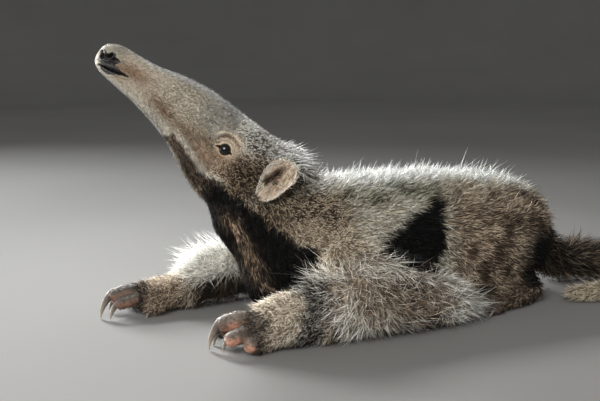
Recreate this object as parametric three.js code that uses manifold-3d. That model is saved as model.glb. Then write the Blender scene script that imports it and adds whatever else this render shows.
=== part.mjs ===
// Young giant anteater lying on its chest with its head raised, at life size.
// Millimetres, +Z up, the head towards -X and the animal's left side towards -Y.
// The origin is on the floor under the middle of the belly.
import * as THREE from 'three';
import { mergeVertices } from 'three/addons/utils/BufferGeometryUtils.js';
import Module from 'manifold-3d';

const wasm = await Module();
wasm.setup();

const SEAM = 0.3; // gap between neighbouring pieces
const SQUARE = 2.2; // how full the sections are: 2 is an ellipse
const UP = new THREE.Vector3(0, 0, 1);
const DOWN = new THREE.Vector3(0, 0, -1);

// The head points up and a little to its right. Its own frame has X forward, Y left and Z up.
const HEAD_PITCH = 36;
const HEAD_YAW = 15;
const EAR_LINE = [-120.4, 7.8, 115.2]; // middle of the head between the ears

// Stations along each form: centre x, y, z, then half width, height above and depth below.
// The head's are in its own frame, from the nape to the nose.
const HEAD = [
  [-20, 0, -4, 26, 23.5, 26],
  [-6, 0, -4, 33, 31, 36],
  [14, 0, -5, 35, 32.5, 44],
  [34, 0, -5, 31.5, 31.5, 44],
  [52, 0, -4, 26, 30, 38],
  [72, 0, -2, 21.5, 28.5, 29],
  [92, 0, -1, 18.5, 25, 21.8],
  [116, 0, -1, 15, 19.8, 15.6],
  [134, 0, 0, 12.8, 16.4, 14.2],
  [148, 0, 1, 12, 14.2, 13.2],
  [155, 0, 1, 11.2, 12, 11.8],
  [159, 0, 1, 9.3, 9.2, 9.2],
];
// From the skull down the throat into the chest, with the nape as its top.
const NAPE = new THREE.Vector3(0.77, -0.2, 0.6);
const NECK = [
  [-137, 12, 112, 28, 24, 43],
  [-129, 10, 100, 36, 35, 50],
  [-112, 5.5, 76, 43, 46, 53],
  [-96, 1, 55, 47, 50, 63],
  [-80, -1, 36, 44, 46, 64],
];
// From the breast to the rump.
const TORSO = [
  [-126, 4, 36, 32, 28, 36],
  [-106, 2, 47, 46, 48, 49],
  [-78, 0, 55, 54, 57, 58],
  [-38, 0, 58, 58, 56, 61],
  [4, 0, 58, 60, 56, 61],
  [44, 0, 57, 61, 54, 60],
  [80, 0, 55, 59, 51, 57],
  [103, 0, 52, 50, 44, 51],
  [119, 0, 48, 37, 31, 40],
];
const UPPER_ARM_LEFT = [
  [-86, -40, 66, 28, 22, 30],
  [-68, -52, 50, 29, 25, 30],
  [-36, -60, 36, 27, 24, 30],
  [-6, -62, 25, 24, 18, 27],
  [12, -62, 17, 17, 13, 19],
];
const FOREARM_LEFT = [
  [-4, -63, 23, 20, 18, 25],
  [-44, -66, 26, 24, 25, 28],
  [-84, -66, 27, 24, 28, 29],
  [-114, -64, 25, 20.5, 23, 27],
];
const HAND_LEFT = [
  [-112, -64, 24, 20.5, 21, 26],
  [-132, -63, 22, 21.5, 20, 24],
  [-150, -61.5, 19, 20, 17.5, 20.5],
  [-160, -60, 17, 16.5, 14, 17],
];
const UPPER_ARM_RIGHT = [
  [-84, 38, 70, 28, 22, 30],
  [-72, 50, 56, 29, 24, 30],
  [-56, 60, 38, 26, 22, 30],
  [-42, 64, 25, 21, 18, 27],
];
const FOREARM_RIGHT = [
  [-54, 66, 24, 20, 18, 26],
  [-95, 68, 27, 24, 25, 29],
  [-135, 66, 27, 24, 24, 29],
  [-163, 62, 23, 20, 19, 25],
  [-182, 60, 18, 18.5, 12.5, 20],
];
const HAND_RIGHT = [
  [-180, 60, 18, 18.5, 12.5, 20],
  [-200, 60, 16, 19, 11, 18],
  [-213, 58, 15, 17.5, 10.5, 16.5],
  [-222, 57, 14, 14.5, 10, 14.5],
];
// The right hind leg, folded; the left one is its mirror image.
const THIGH = [
  [100, 26, 64, 28, 31, 34],
  [78, 34, 58, 31, 36, 38],
  [50, 40, 49, 27, 32, 33],
  [27, 43, 42, 21, 23, 27],
];
const SHANK = [
  [27, 45, 33, 17, 16, 18],
  [60, 44, 26, 16, 16, 16],
  [92, 40, 18, 13, 13, 15],
];
const HIND_FOOT = [
  [97, 41, 11, 11, 11, 12.5],
  [78, 46, 10, 13, 10, 11.5],
  [60, 49, 9.5, 14, 9.5, 11],
  [48, 50, 9, 13, 8, 10],
];
// From inside the rump, down to the floor and round to the left.
const TAIL = [
  [116, 0, 52, 22, 22, 26],
  [139, 1, 38, 19, 17, 22],
  [158, 1, 23, 17, 15, 20],
  [178, -2, 24, 18, 18, 25],
  [200, -14, 21, 17, 17, 22],
  [211, -36, 18, 15.5, 15, 19],
  [204, -56, 15, 14, 13, 16],
  [182, -67, 12, 12, 11, 13.5],
  [155, -65, 10, 10, 9, 11.5],
  [136, -60, 8.5, 8, 7.5, 9.5],
];
const TAIL_NAMES = ['tail_base', 'tail_bend', 'tail_side', 'tail_tip'];
const TAIL_CUTS = [0.3, 0.52, 0.76]; // shares of its length where the tail is parted
const TAIL_CUT_WIDTH = 70;

// Digits of the forefeet, thumb first: root and end of each, then its radius.
const DIGITS_LEFT = [
  [-149, -46, 10, -158, -41, 8, 5.6],
  [-158, -48, 15, -179, -43.5, 12, 6.4],
  [-160, -54, 21, -182, -52, 19.5, 7.2],
  [-158, -63, 14, -181, -66, 12, 6.8],
  [-154, -69, 9, -168, -72, 8, 7.8],
];
const DIGITS_RIGHT = [
  [-204, 46, 10, -212, 43, 7, 5.4],
  [-213, 49, 15, -237, 46.5, 13, 6.2],
  [-219, 55, 19, -240, 54, 18.5, 7],
  [-217, 63, 13, -236, 66, 10.5, 6.4],
  [-207, 69, 10, -221, 73, 8, 7.2],
];
// Claws of the forefeet, thumb first: length, root radius, how far each turns down along its
// length, and how far its root dips below the digit's heading, in degrees.
const FORE_CLAWS = [
  [8, 2, 40, 20],
  [13, 3.5, 45, 30],
  [20, 4.4, 50, 32],
  [9, 2.5, 50, 30],
];
const HIND_CLAW = [9, 2.2, 35, 0];
const HIND_TOES = 5;
const TOE_RADIUS = 4.6;

// The face, in the head's frame. Turns are in degrees, and the lids' from the eye's back corner.
const EYE = { at: [45, 25.2, -4], out: [0.24, 0.93, 0.2], radius: 5.6 };
const LID = { ring: 6.6, tube: 1.5, aspect: 0.7, proud: 3 };
const BROW = { ring: 12, tube: 1.9, from: 62, to: 138, proud: 0.8 };
const NOSTRIL = { at: [156, 9.2, 2], radii: [6, 2.8, 2.4], turn: 28 };
const MOUTH = { back: 134, front: 164, rise: -3.6, turn: 7, gape: 1.4, depth: 3.4 };
const LIP = { radius: 1.2, spread: 1.5, from: 0.805, rings: 5 };
const EAR = {
  base: [6, 34.5, -20.5],
  tip: [-2.5, 43, 16],
  facing: [0.42, 0.9, 0.05],
  halfWidth: 14,
  rear: 0.62, // the upper rear edge's share of that width
  cup: 5,
  thick: 2,
};

// Where the bristly coat grows. shares run along a form. angles go round it, in degrees from
// its left-hand side over its top, looking along it. fall turns the lie down to the floor.
const COAT = [
  { on: 'head', shares: [0.01, 0.17], angles: [50, 130], grid: [2, 4], size: [15, 9], lift: 0.45, back: true },
  { on: 'neck', shares: [0.02, 0.5], angles: [35, 145], grid: [4, 5], size: [20, 10], lift: 0.42 },
  { on: 'neck', shares: [0.25, 0.95], angles: [190, 350], grid: [3, 4], size: [24, 12], lift: 0.24 },
  { on: 'torso', shares: [0.1, 0.95], angles: [60, 120], grid: [15, 4], size: [23, 9], lift: 0.4 },
  { on: 'torso', shares: [0.1, 0.98], angles: [126, 196], grid: [9, 4], size: [34, 14], lift: 0.26, fall: 24 },
  { on: 'torso', shares: [0.1, 0.98], angles: [-16, 54], grid: [9, 4], size: [34, 14], lift: 0.26, fall: 24 },
  { on: 'upper_arm_left', shares: [0.05, 0.95], angles: [60, 200], grid: [5, 4], size: [26, 11], lift: 0.36, fall: 15 },
  { on: 'upper_arm_right', shares: [0.05, 0.95], angles: [-20, 120], grid: [4, 4], size: [26, 11], lift: 0.36, fall: 15 },
  { on: 'forearm_left', shares: [0, 0.98], angles: [-20, 130], grid: [6, 4], size: [26, 11], lift: 0.38, fall: 22, back: true },
  { on: 'forearm_right', shares: [0.2, 0.98], angles: [50, 200], grid: [5, 3], size: [28, 13], lift: 0.32, fall: 22, back: true },
  { on: 'hind_leg_left', shares: [0, 0.98], angles: [-20, 120], grid: [5, 4], size: [24, 12], lift: 0.28, fall: 40, back: true },
  { on: 'hind_leg_right', shares: [0, 0.98], angles: [60, 200], grid: [5, 4], size: [24, 12], lift: 0.28, fall: 40, back: true },
  { on: 'tail', shares: [0.14, 0.99], angles: [-5, 185], grid: [10, 4], size: [28, 11], lift: 0.36, fall: 8 },
];
const LOCK = {
  seed: 7,
  sink: 4, // how deep a root goes
  thick: 2.4,
  wander: 0.3, // how far a root strays from its place in the grid, as a share of a step
  turn: 14, // how far the lie strays, in degrees
  vary: 0.2, // how far length and width stray, as a share
  tries: [1, 0.8, 0.6], // shares of its length tried until a lock is clear of other pieces
  steps: [0, 0.36, 0.7, 1], // where its spine bends
  widths: [0.85, 1, 0.7],
  clasp: [0, 0.75, 0.3], // how far its edges hang back to the surface, as a share of its rise
};

const MATERIALS = {
  face: ['#9a8877', 0.8],
  coat: ['#8d8173', 0.95],
  pale: ['#b9b0a2', 0.95],
  horn: ['#7d7672', 0.45],
  skin: ['#6b5650', 0.7],
  eye: ['#0c0a09', 0.08],
};

const vector = (x, y, z) => new THREE.Vector3(x, y, z);
const mirrored = (rows) => rows.map(([x, y, z, ...half]) => [x, -y, z, ...half]);
const join = (solids) => wasm.Manifold.union(solids);
const { clamp, lerp, degToRad: radians } = THREE.MathUtils;

// The head's own frame in the part's frame.
const headPose = (() => {
  const [pitch, yaw] = [radians(HEAD_PITCH), radians(HEAD_YAW)];
  const forward = vector(-Math.cos(pitch) * Math.cos(yaw), Math.cos(pitch) * Math.sin(yaw), Math.sin(pitch));
  const left = vector(-Math.sin(yaw), -Math.cos(yaw), 0);
  const up = vector(0, 0, 0).crossVectors(forward, left);
  return new THREE.Matrix4().makeBasis(forward, left, up).setPosition(...EAR_LINE);
})();

// The smooth forms, in the order in which they are cut: each is cut back from those before it.
const FORMS = {
  torso: { rows: TORSO, sides: 18, rings: 10, caps: [13, 12] },
  head: { rows: HEAD, sides: 16, rings: 14, caps: [10, 3.5], pose: headPose },
  neck: { rows: NECK, sides: 14, rings: 5, caps: [10, 10], top: NAPE },
  upper_arm_left: { rows: UPPER_ARM_LEFT, rings: 5, caps: [10, 14] },
  upper_arm_right: { rows: UPPER_ARM_RIGHT, rings: 4, caps: [10, 14] },
  forearm_left: { rows: FOREARM_LEFT, rings: 4, caps: [10, 8] },
  forearm_right: { rows: FOREARM_RIGHT, rings: 4, caps: [12, 6] },
  hind_leg_left: { rows: mirrored(THIGH), caps: [12, 16], also: { rows: mirrored(SHANK), caps: [10, 10] } },
  hind_leg_right: { rows: THIGH, caps: [12, 16], also: { rows: SHANK, caps: [10, 10] } },
  hand_left: { rows: HAND_LEFT, sides: 12, rings: 3, caps: [6, 5], domes: [45], digits: DIGITS_LEFT },
  hand_right: { rows: HAND_RIGHT, sides: 12, rings: 3, caps: [6, 5], domes: [45], digits: DIGITS_RIGHT },
  hind_foot_left: { rows: mirrored(HIND_FOOT), sides: 8, rings: 2, caps: [9, 6], domes: [45], toes: HIND_TOES },
  hind_foot_right: { rows: HIND_FOOT, sides: 8, rings: 2, caps: [9, 6], domes: [45], toes: HIND_TOES },
  tail: { rows: TAIL, sides: 10, rings: 13, caps: [10, 14] },
};

// A closed three.js geometry as a solid, placed by a matrix that may mirror it.
function solid(geometry, matrix = new THREE.Matrix4()) {
  const plain = geometry.clone();
  plain.deleteAttribute('normal');
  plain.deleteAttribute('uv');
  plain.applyMatrix4(matrix);
  const merged = mergeVertices(plain, 1e-4);
  const triVerts = new Uint32Array(merged.index.array);
  if (matrix.determinant() < 0) triVerts.reverse();
  const vertProperties = new Float32Array(merged.attributes.position.array);
  return new wasm.Manifold(new wasm.Mesh({ numProp: 3, vertProperties, triVerts }));
}

function geometryOf(made) {
  const { vertProperties, triVerts } = made.getMesh();
  const geometry = new THREE.BufferGeometry();
  geometry.setAttribute('position', new THREE.BufferAttribute(vertProperties, 3));
  geometry.setIndex(new THREE.BufferAttribute(triVerts, 1));
  geometry.computeVertexNormals();
  return geometry;
}

// The largest closed surface, which leaves out scraps and sealed hollows.
function largest(made) {
  return made.decompose().reduce((a, b) => (a.volume() > b.volume() ? a : b));
}

// Whether two solids share any space, looking at their boxes first.
function touches(a, b) {
  const [p, q] = [a.boundingBox(), b.boundingBox()];
  const apart = p.min.some((low, k) => low > q.max[k] || q.min[k] > p.max[k]);
  return !apart && !a.intersect(b).isEmpty();
}

// Uniform Catmull-Rom through rows of numbers, at 0 to 1 along the list.
function along(rows, share) {
  const place = Math.min(Math.max(share, 0), 1) * (rows.length - 1);
  const i = Math.min(Math.floor(place), rows.length - 2);
  const t = place - i;
  const row = (k) => rows[Math.min(Math.max(k, 0), rows.length - 1)];
  const [before, from, to, after] = [row(i - 1), row(i), row(i + 1), row(i + 2)];
  return from.map((b, k) => {
    const [a, c, d] = [before[k], to[k], after[k]];
    const bend = t * (2 * a - 5 * b + 4 * c - d + t * (3 * (b - c) + d - a));
    return b + 0.5 * t * (c - a + bend);
  });
}

// Centre, axes and half sizes of the section at a share of the form's length.
function section(rows, share, top) {
  const step = 1e-3;
  const here = along(rows, share);
  const ahead = vector(...along(rows, share + step));
  const tangent = ahead.sub(vector(...along(rows, share - step))).normalize();
  const up = top.clone().addScaledVector(tangent, -top.dot(tangent)).normalize();
  const side = vector(0, 0, 0).crossVectors(up, tangent);
  return { centre: vector(...here), tangent, up, side, half: here.slice(3) };
}

// A point on a section's outline at an angle in radians; scale shrinks the outline to its centre.
function outline(cut, angle, grow = 0, square = SQUARE, scale = 1) {
  const bulge = (v) => Math.sign(v) * Math.abs(v) ** (2 / square) * scale;
  const [c, s] = [Math.cos(angle), Math.sin(angle)];
  const rise = s > 0 ? cut.half[1] : cut.half[2];
  const point = cut.centre.clone().addScaledVector(cut.side, bulge(c) * (cut.half[0] + grow));
  return point.addScaledVector(cut.up, bulge(s) * (rise + grow));
}

// A closed skin over rings of points, with a point at each end.
function closedLoft(rings, first, last) {
  const sides = rings[0].length;
  const points = [first, ...rings.flat(), last];
  const index = [];
  const at = (ring, k) => 1 + ring * sides + (k % sides);
  for (let k = 0; k < sides; k++) {
    index.push(0, at(0, k + 1), at(0, k));
    index.push(points.length - 1, at(rings.length - 1, k), at(rings.length - 1, k + 1));
    for (let r = 0; r < rings.length - 1; r++) {
      index.push(at(r, k), at(r, k + 1), at(r + 1, k));
      index.push(at(r, k + 1), at(r + 1, k + 1), at(r + 1, k));
    }
  }
  const geometry = new THREE.BufferGeometry().setFromPoints(points);
  geometry.setIndex(index);
  return geometry;
}

// A rounded form through stations. grow moves its whole surface out, and domes are the
// latitudes of the rings that round each end off.
function form({ rows, caps, sides = 14, rings = 3, square = SQUARE, domes = [68, 38], top = UP }, grow) {
  const ring = (cut, shift, scale) =>
    Array.from({ length: sides }, (_, k) => {
      return outline(cut, (2 * Math.PI * k) / sides, grow, square, scale).add(shift);
    });
  const made = [];
  const poles = [];
  for (const end of [0, 1]) {
    const cut = section(rows, end, top);
    const outward = cut.tangent.clone().multiplyScalar(end ? 1 : -1);
    const dome = domes.map((degrees) => {
      const turn = radians(degrees);
      return ring(cut, outward.clone().multiplyScalar((caps[end] + grow) * Math.sin(turn)), Math.cos(turn));
    });
    poles.push(cut.centre.clone().addScaledVector(outward, caps[end] + grow));
    if (end) {
      made.push(...dome.reverse());
    } else {
      made.push(...dome);
      for (let i = 0; i <= rings; i++) {
        made.push(ring(section(rows, i / rings, top), vector(0, 0, 0), 1));
      }
    }
  }
  return closedLoft(made, ...poles);
}

// A named form with what belongs to it: a second length, or its digits or toes.
function whole(name, grow = 0) {
  const made = FORMS[name];
  const parts = [solid(form(made, grow), made.pose)];
  if (made.also) parts.push(solid(form({ sides: 10, domes: [45], ...made.also }, grow)));
  if (made.digits) parts.push(...made.digits.map((row) => digit(row, 6, grow)));
  if (made.toes) parts.push(...toeRows(made).map((row) => digit(row, 5, grow)));
  return parts.length > 1 ? join(parts) : parts[0];
}

function digit([x0, y0, z0, x1, y1, z1, radius], sides, grow) {
  const rows = [
    [x0, y0, z0, radius, radius, radius],
    [x1, y1, z1, radius, radius, radius],
  ];
  return solid(form({ rows, sides, rings: 1, caps: [radius, radius * 0.8], square: 2, domes: [40] }, grow));
}

// The toes of a hind foot fan out from its front end; rows as for the digits of a forefoot.
function toeRows({ rows, toes }) {
  const [x, y, z, width] = rows[rows.length - 1];
  return Array.from({ length: toes }, (_, i) => {
    const share = (2 * i) / (toes - 1) - 1;
    return [x + 2, y + share * (width - 3), z - 3, x - 7 + 4 * share ** 2, y + share * width, 5, TOE_RADIUS];
  });
}

// A curved horn: it leaves its root along heading and turns towards bend.
function claw(root, heading, bend, [length, radius, turn], sides, steps) {
  const axis = vector(0, 0, 0).crossVectors(heading, bend).normalize();
  const ahead = heading.clone();
  const centre = root.clone();
  const rings = [];
  for (let i = 0; i < steps; i++) {
    const across = vector(0, 0, 0).crossVectors(ahead, axis);
    const size = radius * (1 - i / steps) ** 0.7;
    rings.push(
      Array.from({ length: sides }, (_, k) => {
        const angle = (2 * Math.PI * k) / sides;
        const wide = centre.clone().addScaledVector(axis, 0.72 * size * Math.cos(angle));
        return wide.addScaledVector(across, size * Math.sin(angle));
      }),
    );
    ahead.applyAxisAngle(axis, radians(turn / steps));
    centre.addScaledVector(ahead, length / steps);
  }
  return closedLoft(rings, root.clone().addScaledVector(heading, -0.5), centre);
}

// The claws of one foot, each clear of every form near it.
function claws(foot, near, prefix, sizes, sides, steps) {
  const rows = FORMS[foot].digits ?? toeRows(FORMS[foot]);
  const around = join([foot, ...near].map((name) => whole(name, SEAM)));
  return sizes.map((size, i) => {
    const [x0, y0, z0, x1, y1, z1, radius] = rows[i];
    const heading = vector(x1 - x0, y1 - y0, z1 - z0).normalize();
    if (FORMS[foot].toes) heading.setZ(0).normalize();
    const root = vector(x1, y1, z1).addScaledVector(heading, radius * 0.6);
    heading.applyAxisAngle(vector(0, 0, 0).crossVectors(heading, DOWN).normalize(), radians(size[3]));
    return [`${prefix}_${i + 1}`, solid(claw(root, heading, DOWN, size, sides, steps)).subtract(around)];
  });
}

// A solid made for the left of the head, or mirrored to its right.
function headPiece(geometry, matrix, side) {
  const flip = new THREE.Matrix4().makeScale(1, side, 1);
  return solid(geometry, headPose.clone().multiply(flip).multiply(matrix));
}

// The left eye's own frame: X back along the head, Y up and Z out of the head.
function eyePose(proud) {
  const out = vector(...EYE.out).normalize();
  const back = vector(-1, 0, 0).addScaledVector(out, out.x).normalize();
  const above = vector(0, 0, 0).crossVectors(out, back);
  const pose = new THREE.Matrix4().makeBasis(back, above, out).setPosition(...EYE.at);
  return pose.multiply(new THREE.Matrix4().makeTranslation(0, 0, proud));
}

function lids() {
  const ring = new THREE.TorusGeometry(LID.ring, LID.tube, 4, 10);
  return ring.scale(1, LID.aspect, 1);
}

// The pale fold over the eye, in the eye's frame.
function browFold() {
  const steps = 5;
  const sides = 5;
  const point = (degrees, reach) => {
    return vector(Math.cos(radians(degrees)) * reach, Math.sin(radians(degrees)) * reach, 0);
  };
  const rings = Array.from({ length: steps + 1 }, (_, i) => {
    const degrees = lerp(BROW.from, BROW.to, i / steps);
    const size = BROW.tube * Math.sin(Math.PI * (0.15 + (0.7 * i) / steps));
    return Array.from({ length: sides }, (_, k) => {
      const angle = (2 * Math.PI * k) / sides;
      return point(degrees, BROW.ring + size * Math.cos(angle)).add(vector(0, 0, -size * Math.sin(angle)));
    });
  });
  return closedLoft(rings, point(BROW.from - 8, BROW.ring), point(BROW.to + 8, BROW.ring));
}

// One lip, from the left corner of the mouth round the nose to the right one.
function lip(spread) {
  const sides = 4;
  const stations = [];
  for (const side of [1, -1]) {
    const half = Array.from({ length: LIP.rings }, (_, i) => {
      const cut = section(HEAD, lerp(LIP.from, 1, i / (LIP.rings - 1)), UP);
      const height = mouthHeight(cut.centre.x) + spread;
      const reach = (1 - (Math.abs(height - cut.centre.z) / cut.half[2]) ** SQUARE) ** (1 / SQUARE);
      return vector(cut.centre.x, side * reach * cut.half[0], height);
    });
    stations.push(...(side > 0 ? half : half.reverse()));
  }
  const tip = vector(MOUTH.front - 4.5, 0, mouthHeight(MOUTH.front - 4.5) + spread);
  stations.splice(LIP.rings, 0, tip);
  const rings = stations.map((place, i) => {
    const ahead = stations[Math.min(i + 1, stations.length - 1)].clone().sub(stations[Math.max(i - 1, 0)]);
    const side = vector(0, 0, 0).crossVectors(UP, ahead.normalize()).normalize();
    return Array.from({ length: sides }, (_, k) => {
      const angle = (2 * Math.PI * k) / sides;
      const wide = place.clone().addScaledVector(side, LIP.radius * Math.cos(angle));
      return wide.addScaledVector(UP, LIP.radius * Math.sin(angle));
    });
  });
  return closedLoft(rings, stations[0], stations[stations.length - 1]);
}

// Height of the mouth's line at a distance along the head.
function mouthHeight(x) {
  return MOUTH.rise - (x - (MOUTH.back + MOUTH.front) / 2) * Math.tan(radians(MOUTH.turn));
}

// Lids, brows, eyes, nostrils, mouth and lips.
function carveFace(head) {
  const eyes = {};
  const folds = [lip(LIP.spread), lip(-LIP.spread)].map((made) => headPiece(made, new THREE.Matrix4(), 1));
  const hollows = [];
  for (const [name, side] of [['left', 1], ['right', -1]]) {
    const ball = (radius) => headPiece(new THREE.IcosahedronGeometry(radius, 2), eyePose(0), side);
    folds.push(headPiece(lids(), eyePose(LID.proud), side));
    folds.push(headPiece(browFold(), eyePose(BROW.proud), side));
    hollows.push(ball(EYE.radius + SEAM));
    eyes[`eye_${name}`] = ball(EYE.radius);
    const nostril = new THREE.SphereGeometry(1, 9, 6).scale(...NOSTRIL.radii).rotateY(radians(NOSTRIL.turn));
    hollows.push(headPiece(nostril, new THREE.Matrix4().makeTranslation(...NOSTRIL.at), side));
  }
  const slot = new THREE.BoxGeometry(MOUTH.front - MOUTH.back, 60, MOUTH.gape).rotateY(radians(MOUTH.turn));
  const middle = new THREE.Matrix4().makeTranslation((MOUTH.back + MOUTH.front) / 2, 0, MOUTH.rise);
  hollows.push(headPiece(slot, middle, 1).subtract(whole('head', -MOUTH.depth)));
  return { head: join([head, ...folds]).subtract(join(hollows)), eyes };
}

// The outer ear: a rounded leaf with its middle sunk towards the head.
function earCup() {
  const rows = 7;
  const columns = 4;
  const base = vector(...EAR.base);
  const rise = vector(...EAR.tip).sub(base);
  const length = rise.length();
  rise.normalize();
  const facing = vector(...EAR.facing);
  facing.addScaledVector(rise, -facing.dot(rise)).normalize();
  const across = vector(0, 0, 0).crossVectors(rise, facing);
  const rings = Array.from({ length: rows + 1 }, (_, i) => {
    const v = lerp(0.02, 0.98, i / rows);
    const width = EAR.halfWidth * Math.sin(Math.PI * v ** 1.6) ** 0.4;
    const narrowed = lerp(1, EAR.rear, Math.min(1, Math.max(0, (v - 0.1) / 0.5)));
    const depth = EAR.cup * Math.sin(Math.PI * v) ** 0.5;
    const front = Array.from({ length: columns + 1 }, (_, j) => {
      const w = (2 * j) / columns - 1;
      const reach = w * width * (w > 0 ? narrowed : 1);
      const place = base.clone().addScaledVector(rise, v * length).addScaledVector(across, reach);
      return place.addScaledVector(facing, -depth * (1 - w * w));
    });
    const back = front.map((place) => place.clone().addScaledVector(facing, -EAR.thick));
    return [...front, ...back.reverse()];
  });
  const end = (ring) => ring.reduce((sum, place) => sum.addScaledVector(place, 1 / ring.length), vector(0, 0, 0));
  return closedLoft(rings, end(rings[0]), end(rings[rows]));
}

// Thin cuts part the tail into its lengths, given here from the rump to the tip.
function tailLengths(tail) {
  const ends = [0, ...TAIL_CUTS, 1];
  let parted = tail;
  for (const share of TAIL_CUTS) {
    const { centre, tangent, up, side } = section(TAIL, share, UP);
    const pose = new THREE.Matrix4().makeBasis(side, up, tangent).setPosition(centre);
    parted = parted.subtract(solid(new THREE.BoxGeometry(TAIL_CUT_WIDTH, TAIL_CUT_WIDTH, SEAM), pose));
  }
  const bodies = parted.decompose();
  return TAIL_NAMES.map((_, i) => {
    const middle = section(TAIL, (ends[i] + ends[i + 1]) / 2, UP).centre;
    const probe = solid(new THREE.OctahedronGeometry(0.5), new THREE.Matrix4().setPosition(middle));
    return bodies.find((body) => touches(body, probe));
  });
}

// Random numbers from 0 to 1 that are the same each time.
function randomFrom(seed) {
  let state = seed;
  return () => {
    state = (state * 1664525 + 1013904223) % 4294967296;
    return state / 4294967296;
  };
}

// A flat, three-sided lock: its sunken root, its spine over the surface, and its raised tip.
function lockOn({ rows, top = UP, pose }, { share, angle, heading, length, width, lift }, grow = 0) {
  const step = 1e-3;
  const at = (u, a) => outline(section(rows, u, top), a);
  const perShare = at(share + step, angle).distanceTo(at(share - step, angle)) / (2 * step);
  const perAngle = at(share, angle + step).distanceTo(at(share, angle)) / step;
  const spine = LOCK.steps.map((t) => {
    const u = share + (Math.cos(heading) * length * t) / perShare;
    const cut = section(rows, u, top);
    const point = outline(cut, angle + (Math.sin(heading) * length * t) / perAngle);
    const out = point.clone().sub(cut.centre).normalize();
    const past = (u - Math.min(Math.max(u, 0), 1)) * perShare;
    const rise = t ? lift * length * Math.sin(Math.PI * lerp(0.1, 0.5, t)) : -LOCK.sink;
    return { point: point.addScaledVector(cut.tangent, past).addScaledVector(out, rise), out, rise };
  });
  const rings = LOCK.widths.map((size, k) => {
    const { point, out, rise } = spine[k];
    const ahead = spine[k + 1].point.clone().sub(spine[Math.max(k - 1, 0)].point).normalize();
    const side = vector(0, 0, 0).crossVectors(out, ahead).normalize();
    const above = vector(0, 0, 0).crossVectors(ahead, side);
    const half = (size * width) / 2 + grow;
    const edge = (reach) => {
      const place = point.clone().addScaledVector(side, reach).addScaledVector(above, -grow);
      return place.addScaledVector(out, -rise * LOCK.clasp[k]);
    };
    return [edge(half), point.clone().addScaledVector(above, LOCK.thick * size + grow), edge(-half)];
  });
  return solid(closedLoft(rings, spine[0].point, spine[spine.length - 1].point), pose);
}

// The bristly coat: a jittered grid of locks on each stretch, joined to what they grow from.
function addCoat(done) {
  const random = randomFrom(LOCK.seed);
  const stray = (range) => (2 * random() - 1) * range;
  const placed = [];
  for (const { on, shares, angles, grid, size, lift, fall = 0, back = false } of COAT) {
    for (let i = 0; i < grid[0]; i++) {
      for (let j = 0; j < grid[1]; j++) {
        const stagger = j % 2 ? 0.25 : -0.25;
        const degrees = lerp(...angles, (j + 0.5 + stray(LOCK.wander)) / grid[1]);
        const down = degrees > 90 ? fall : -fall;
        const turn = (back ? 180 - down : down) + stray(LOCK.turn);
        const wanted = {
          share: clamp(lerp(...shares, (i + 0.5 + stagger + stray(LOCK.wander)) / grid[0]), 0, 1),
          angle: radians(degrees),
          heading: radians(turn),
          length: size[0] * (1 + stray(LOCK.vary)),
          width: size[1] * (1 + stray(LOCK.vary)),
          lift,
        };
        const made = placeLock(done, placed, on, wanted);
        if (made) placed.push(made);
      }
    }
  }
  for (const { node, made } of placed) (done[node].locks ??= []).push(made);
  for (const piece of Object.values(done)) if (piece.locks) piece.core = join([piece.core, ...piece.locks]);
}

// The longest try at a lock that is rooted in its own node and clear of all the others.
function placeLock(done, placed, on, wanted) {
  const owners = on === 'tail' ? TAIL_NAMES : [on];
  for (const share of LOCK.tries) {
    const size = { ...wanted, length: wanted.length * share };
    const made = lockOn(FORMS[on], size);
    if (made.boundingBox().min[2] < SEAM) continue;
    const wide = lockOn(FORMS[on], size, SEAM);
    const met = Object.keys(done).filter((name) => touches(wide, done[name].core));
    if (met.length !== 1 || !owners.includes(met[0])) continue;
    const crossed = placed.some((other) => other.node !== met[0] && touches(wide, other.made));
    if (!crossed) return { node: met[0], made };
  }
  return null;
}

// Builds every piece, each clear of the ones before it.
function pieces() {
  const done = {};
  const before = [];
  for (const name of Object.keys(FORMS)) {
    done[name] = before.length ? whole(name).subtract(join(before)) : whole(name);
    before.push(whole(name, SEAM));
  }
  const { head, eyes } = carveFace(done.head);
  Object.assign(done, eyes, { head });
  const flesh = join(['head', 'neck', 'torso'].map((name) => whole(name, SEAM)));
  for (const [side, sign] of [['left', 1], ['right', -1]]) {
    done[`ear_${side}`] = headPiece(earCup(), new THREE.Matrix4(), sign).subtract(flesh);
    const fore = claws(`hand_${side}`, [], `claw_${side}`, FORE_CLAWS, 5, 4);
    const near = [`hind_leg_${side}`, 'torso'];
    const sizes = Array(HIND_TOES).fill(HIND_CLAW);
    const hind = claws(`hind_foot_${side}`, near, `hind_claw_${side}`, sizes, 4, 2);
    Object.assign(done, Object.fromEntries([...fore, ...hind]));
  }
  tailLengths(done.tail).forEach((length, i) => (done[TAIL_NAMES[i]] = length));
  delete done.tail;

  const floor = solid(new THREE.BoxGeometry(1200, 800, 200), new THREE.Matrix4().makeTranslation(0, 0, -100));
  for (const name of Object.keys(done)) done[name] = { core: largest(done[name].subtract(floor)) };
  addCoat(done);
  return Object.entries(done).map(([name, { core }]) => [name, largest(core)]);
}

function materialOf(name) {
  const kinds = [
    [/^eye/, 'eye'],
    [/claw/, 'horn'],
    [/^(head|ear)/, 'face'],
    [/arm/, 'pale'],
    [/^hand|foot/, 'skin'],
    [/./, 'coat'],
  ];
  const [color, roughness] = MATERIALS[kinds.find(([pattern]) => pattern.test(name))[1]];
  return new THREE.MeshStandardMaterial({ color, roughness, metalness: 0 });
}

const anteater = new THREE.Group();
for (const [name, made] of pieces()) {
  const mesh = new THREE.Mesh(geometryOf(made), materialOf(name));
  mesh.name = name;
  anteater.add(mesh);
}

export default anteater;
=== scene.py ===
"""A young giant anteater lying on its chest, as a life-size still model with its whole coat."""

import math

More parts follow.
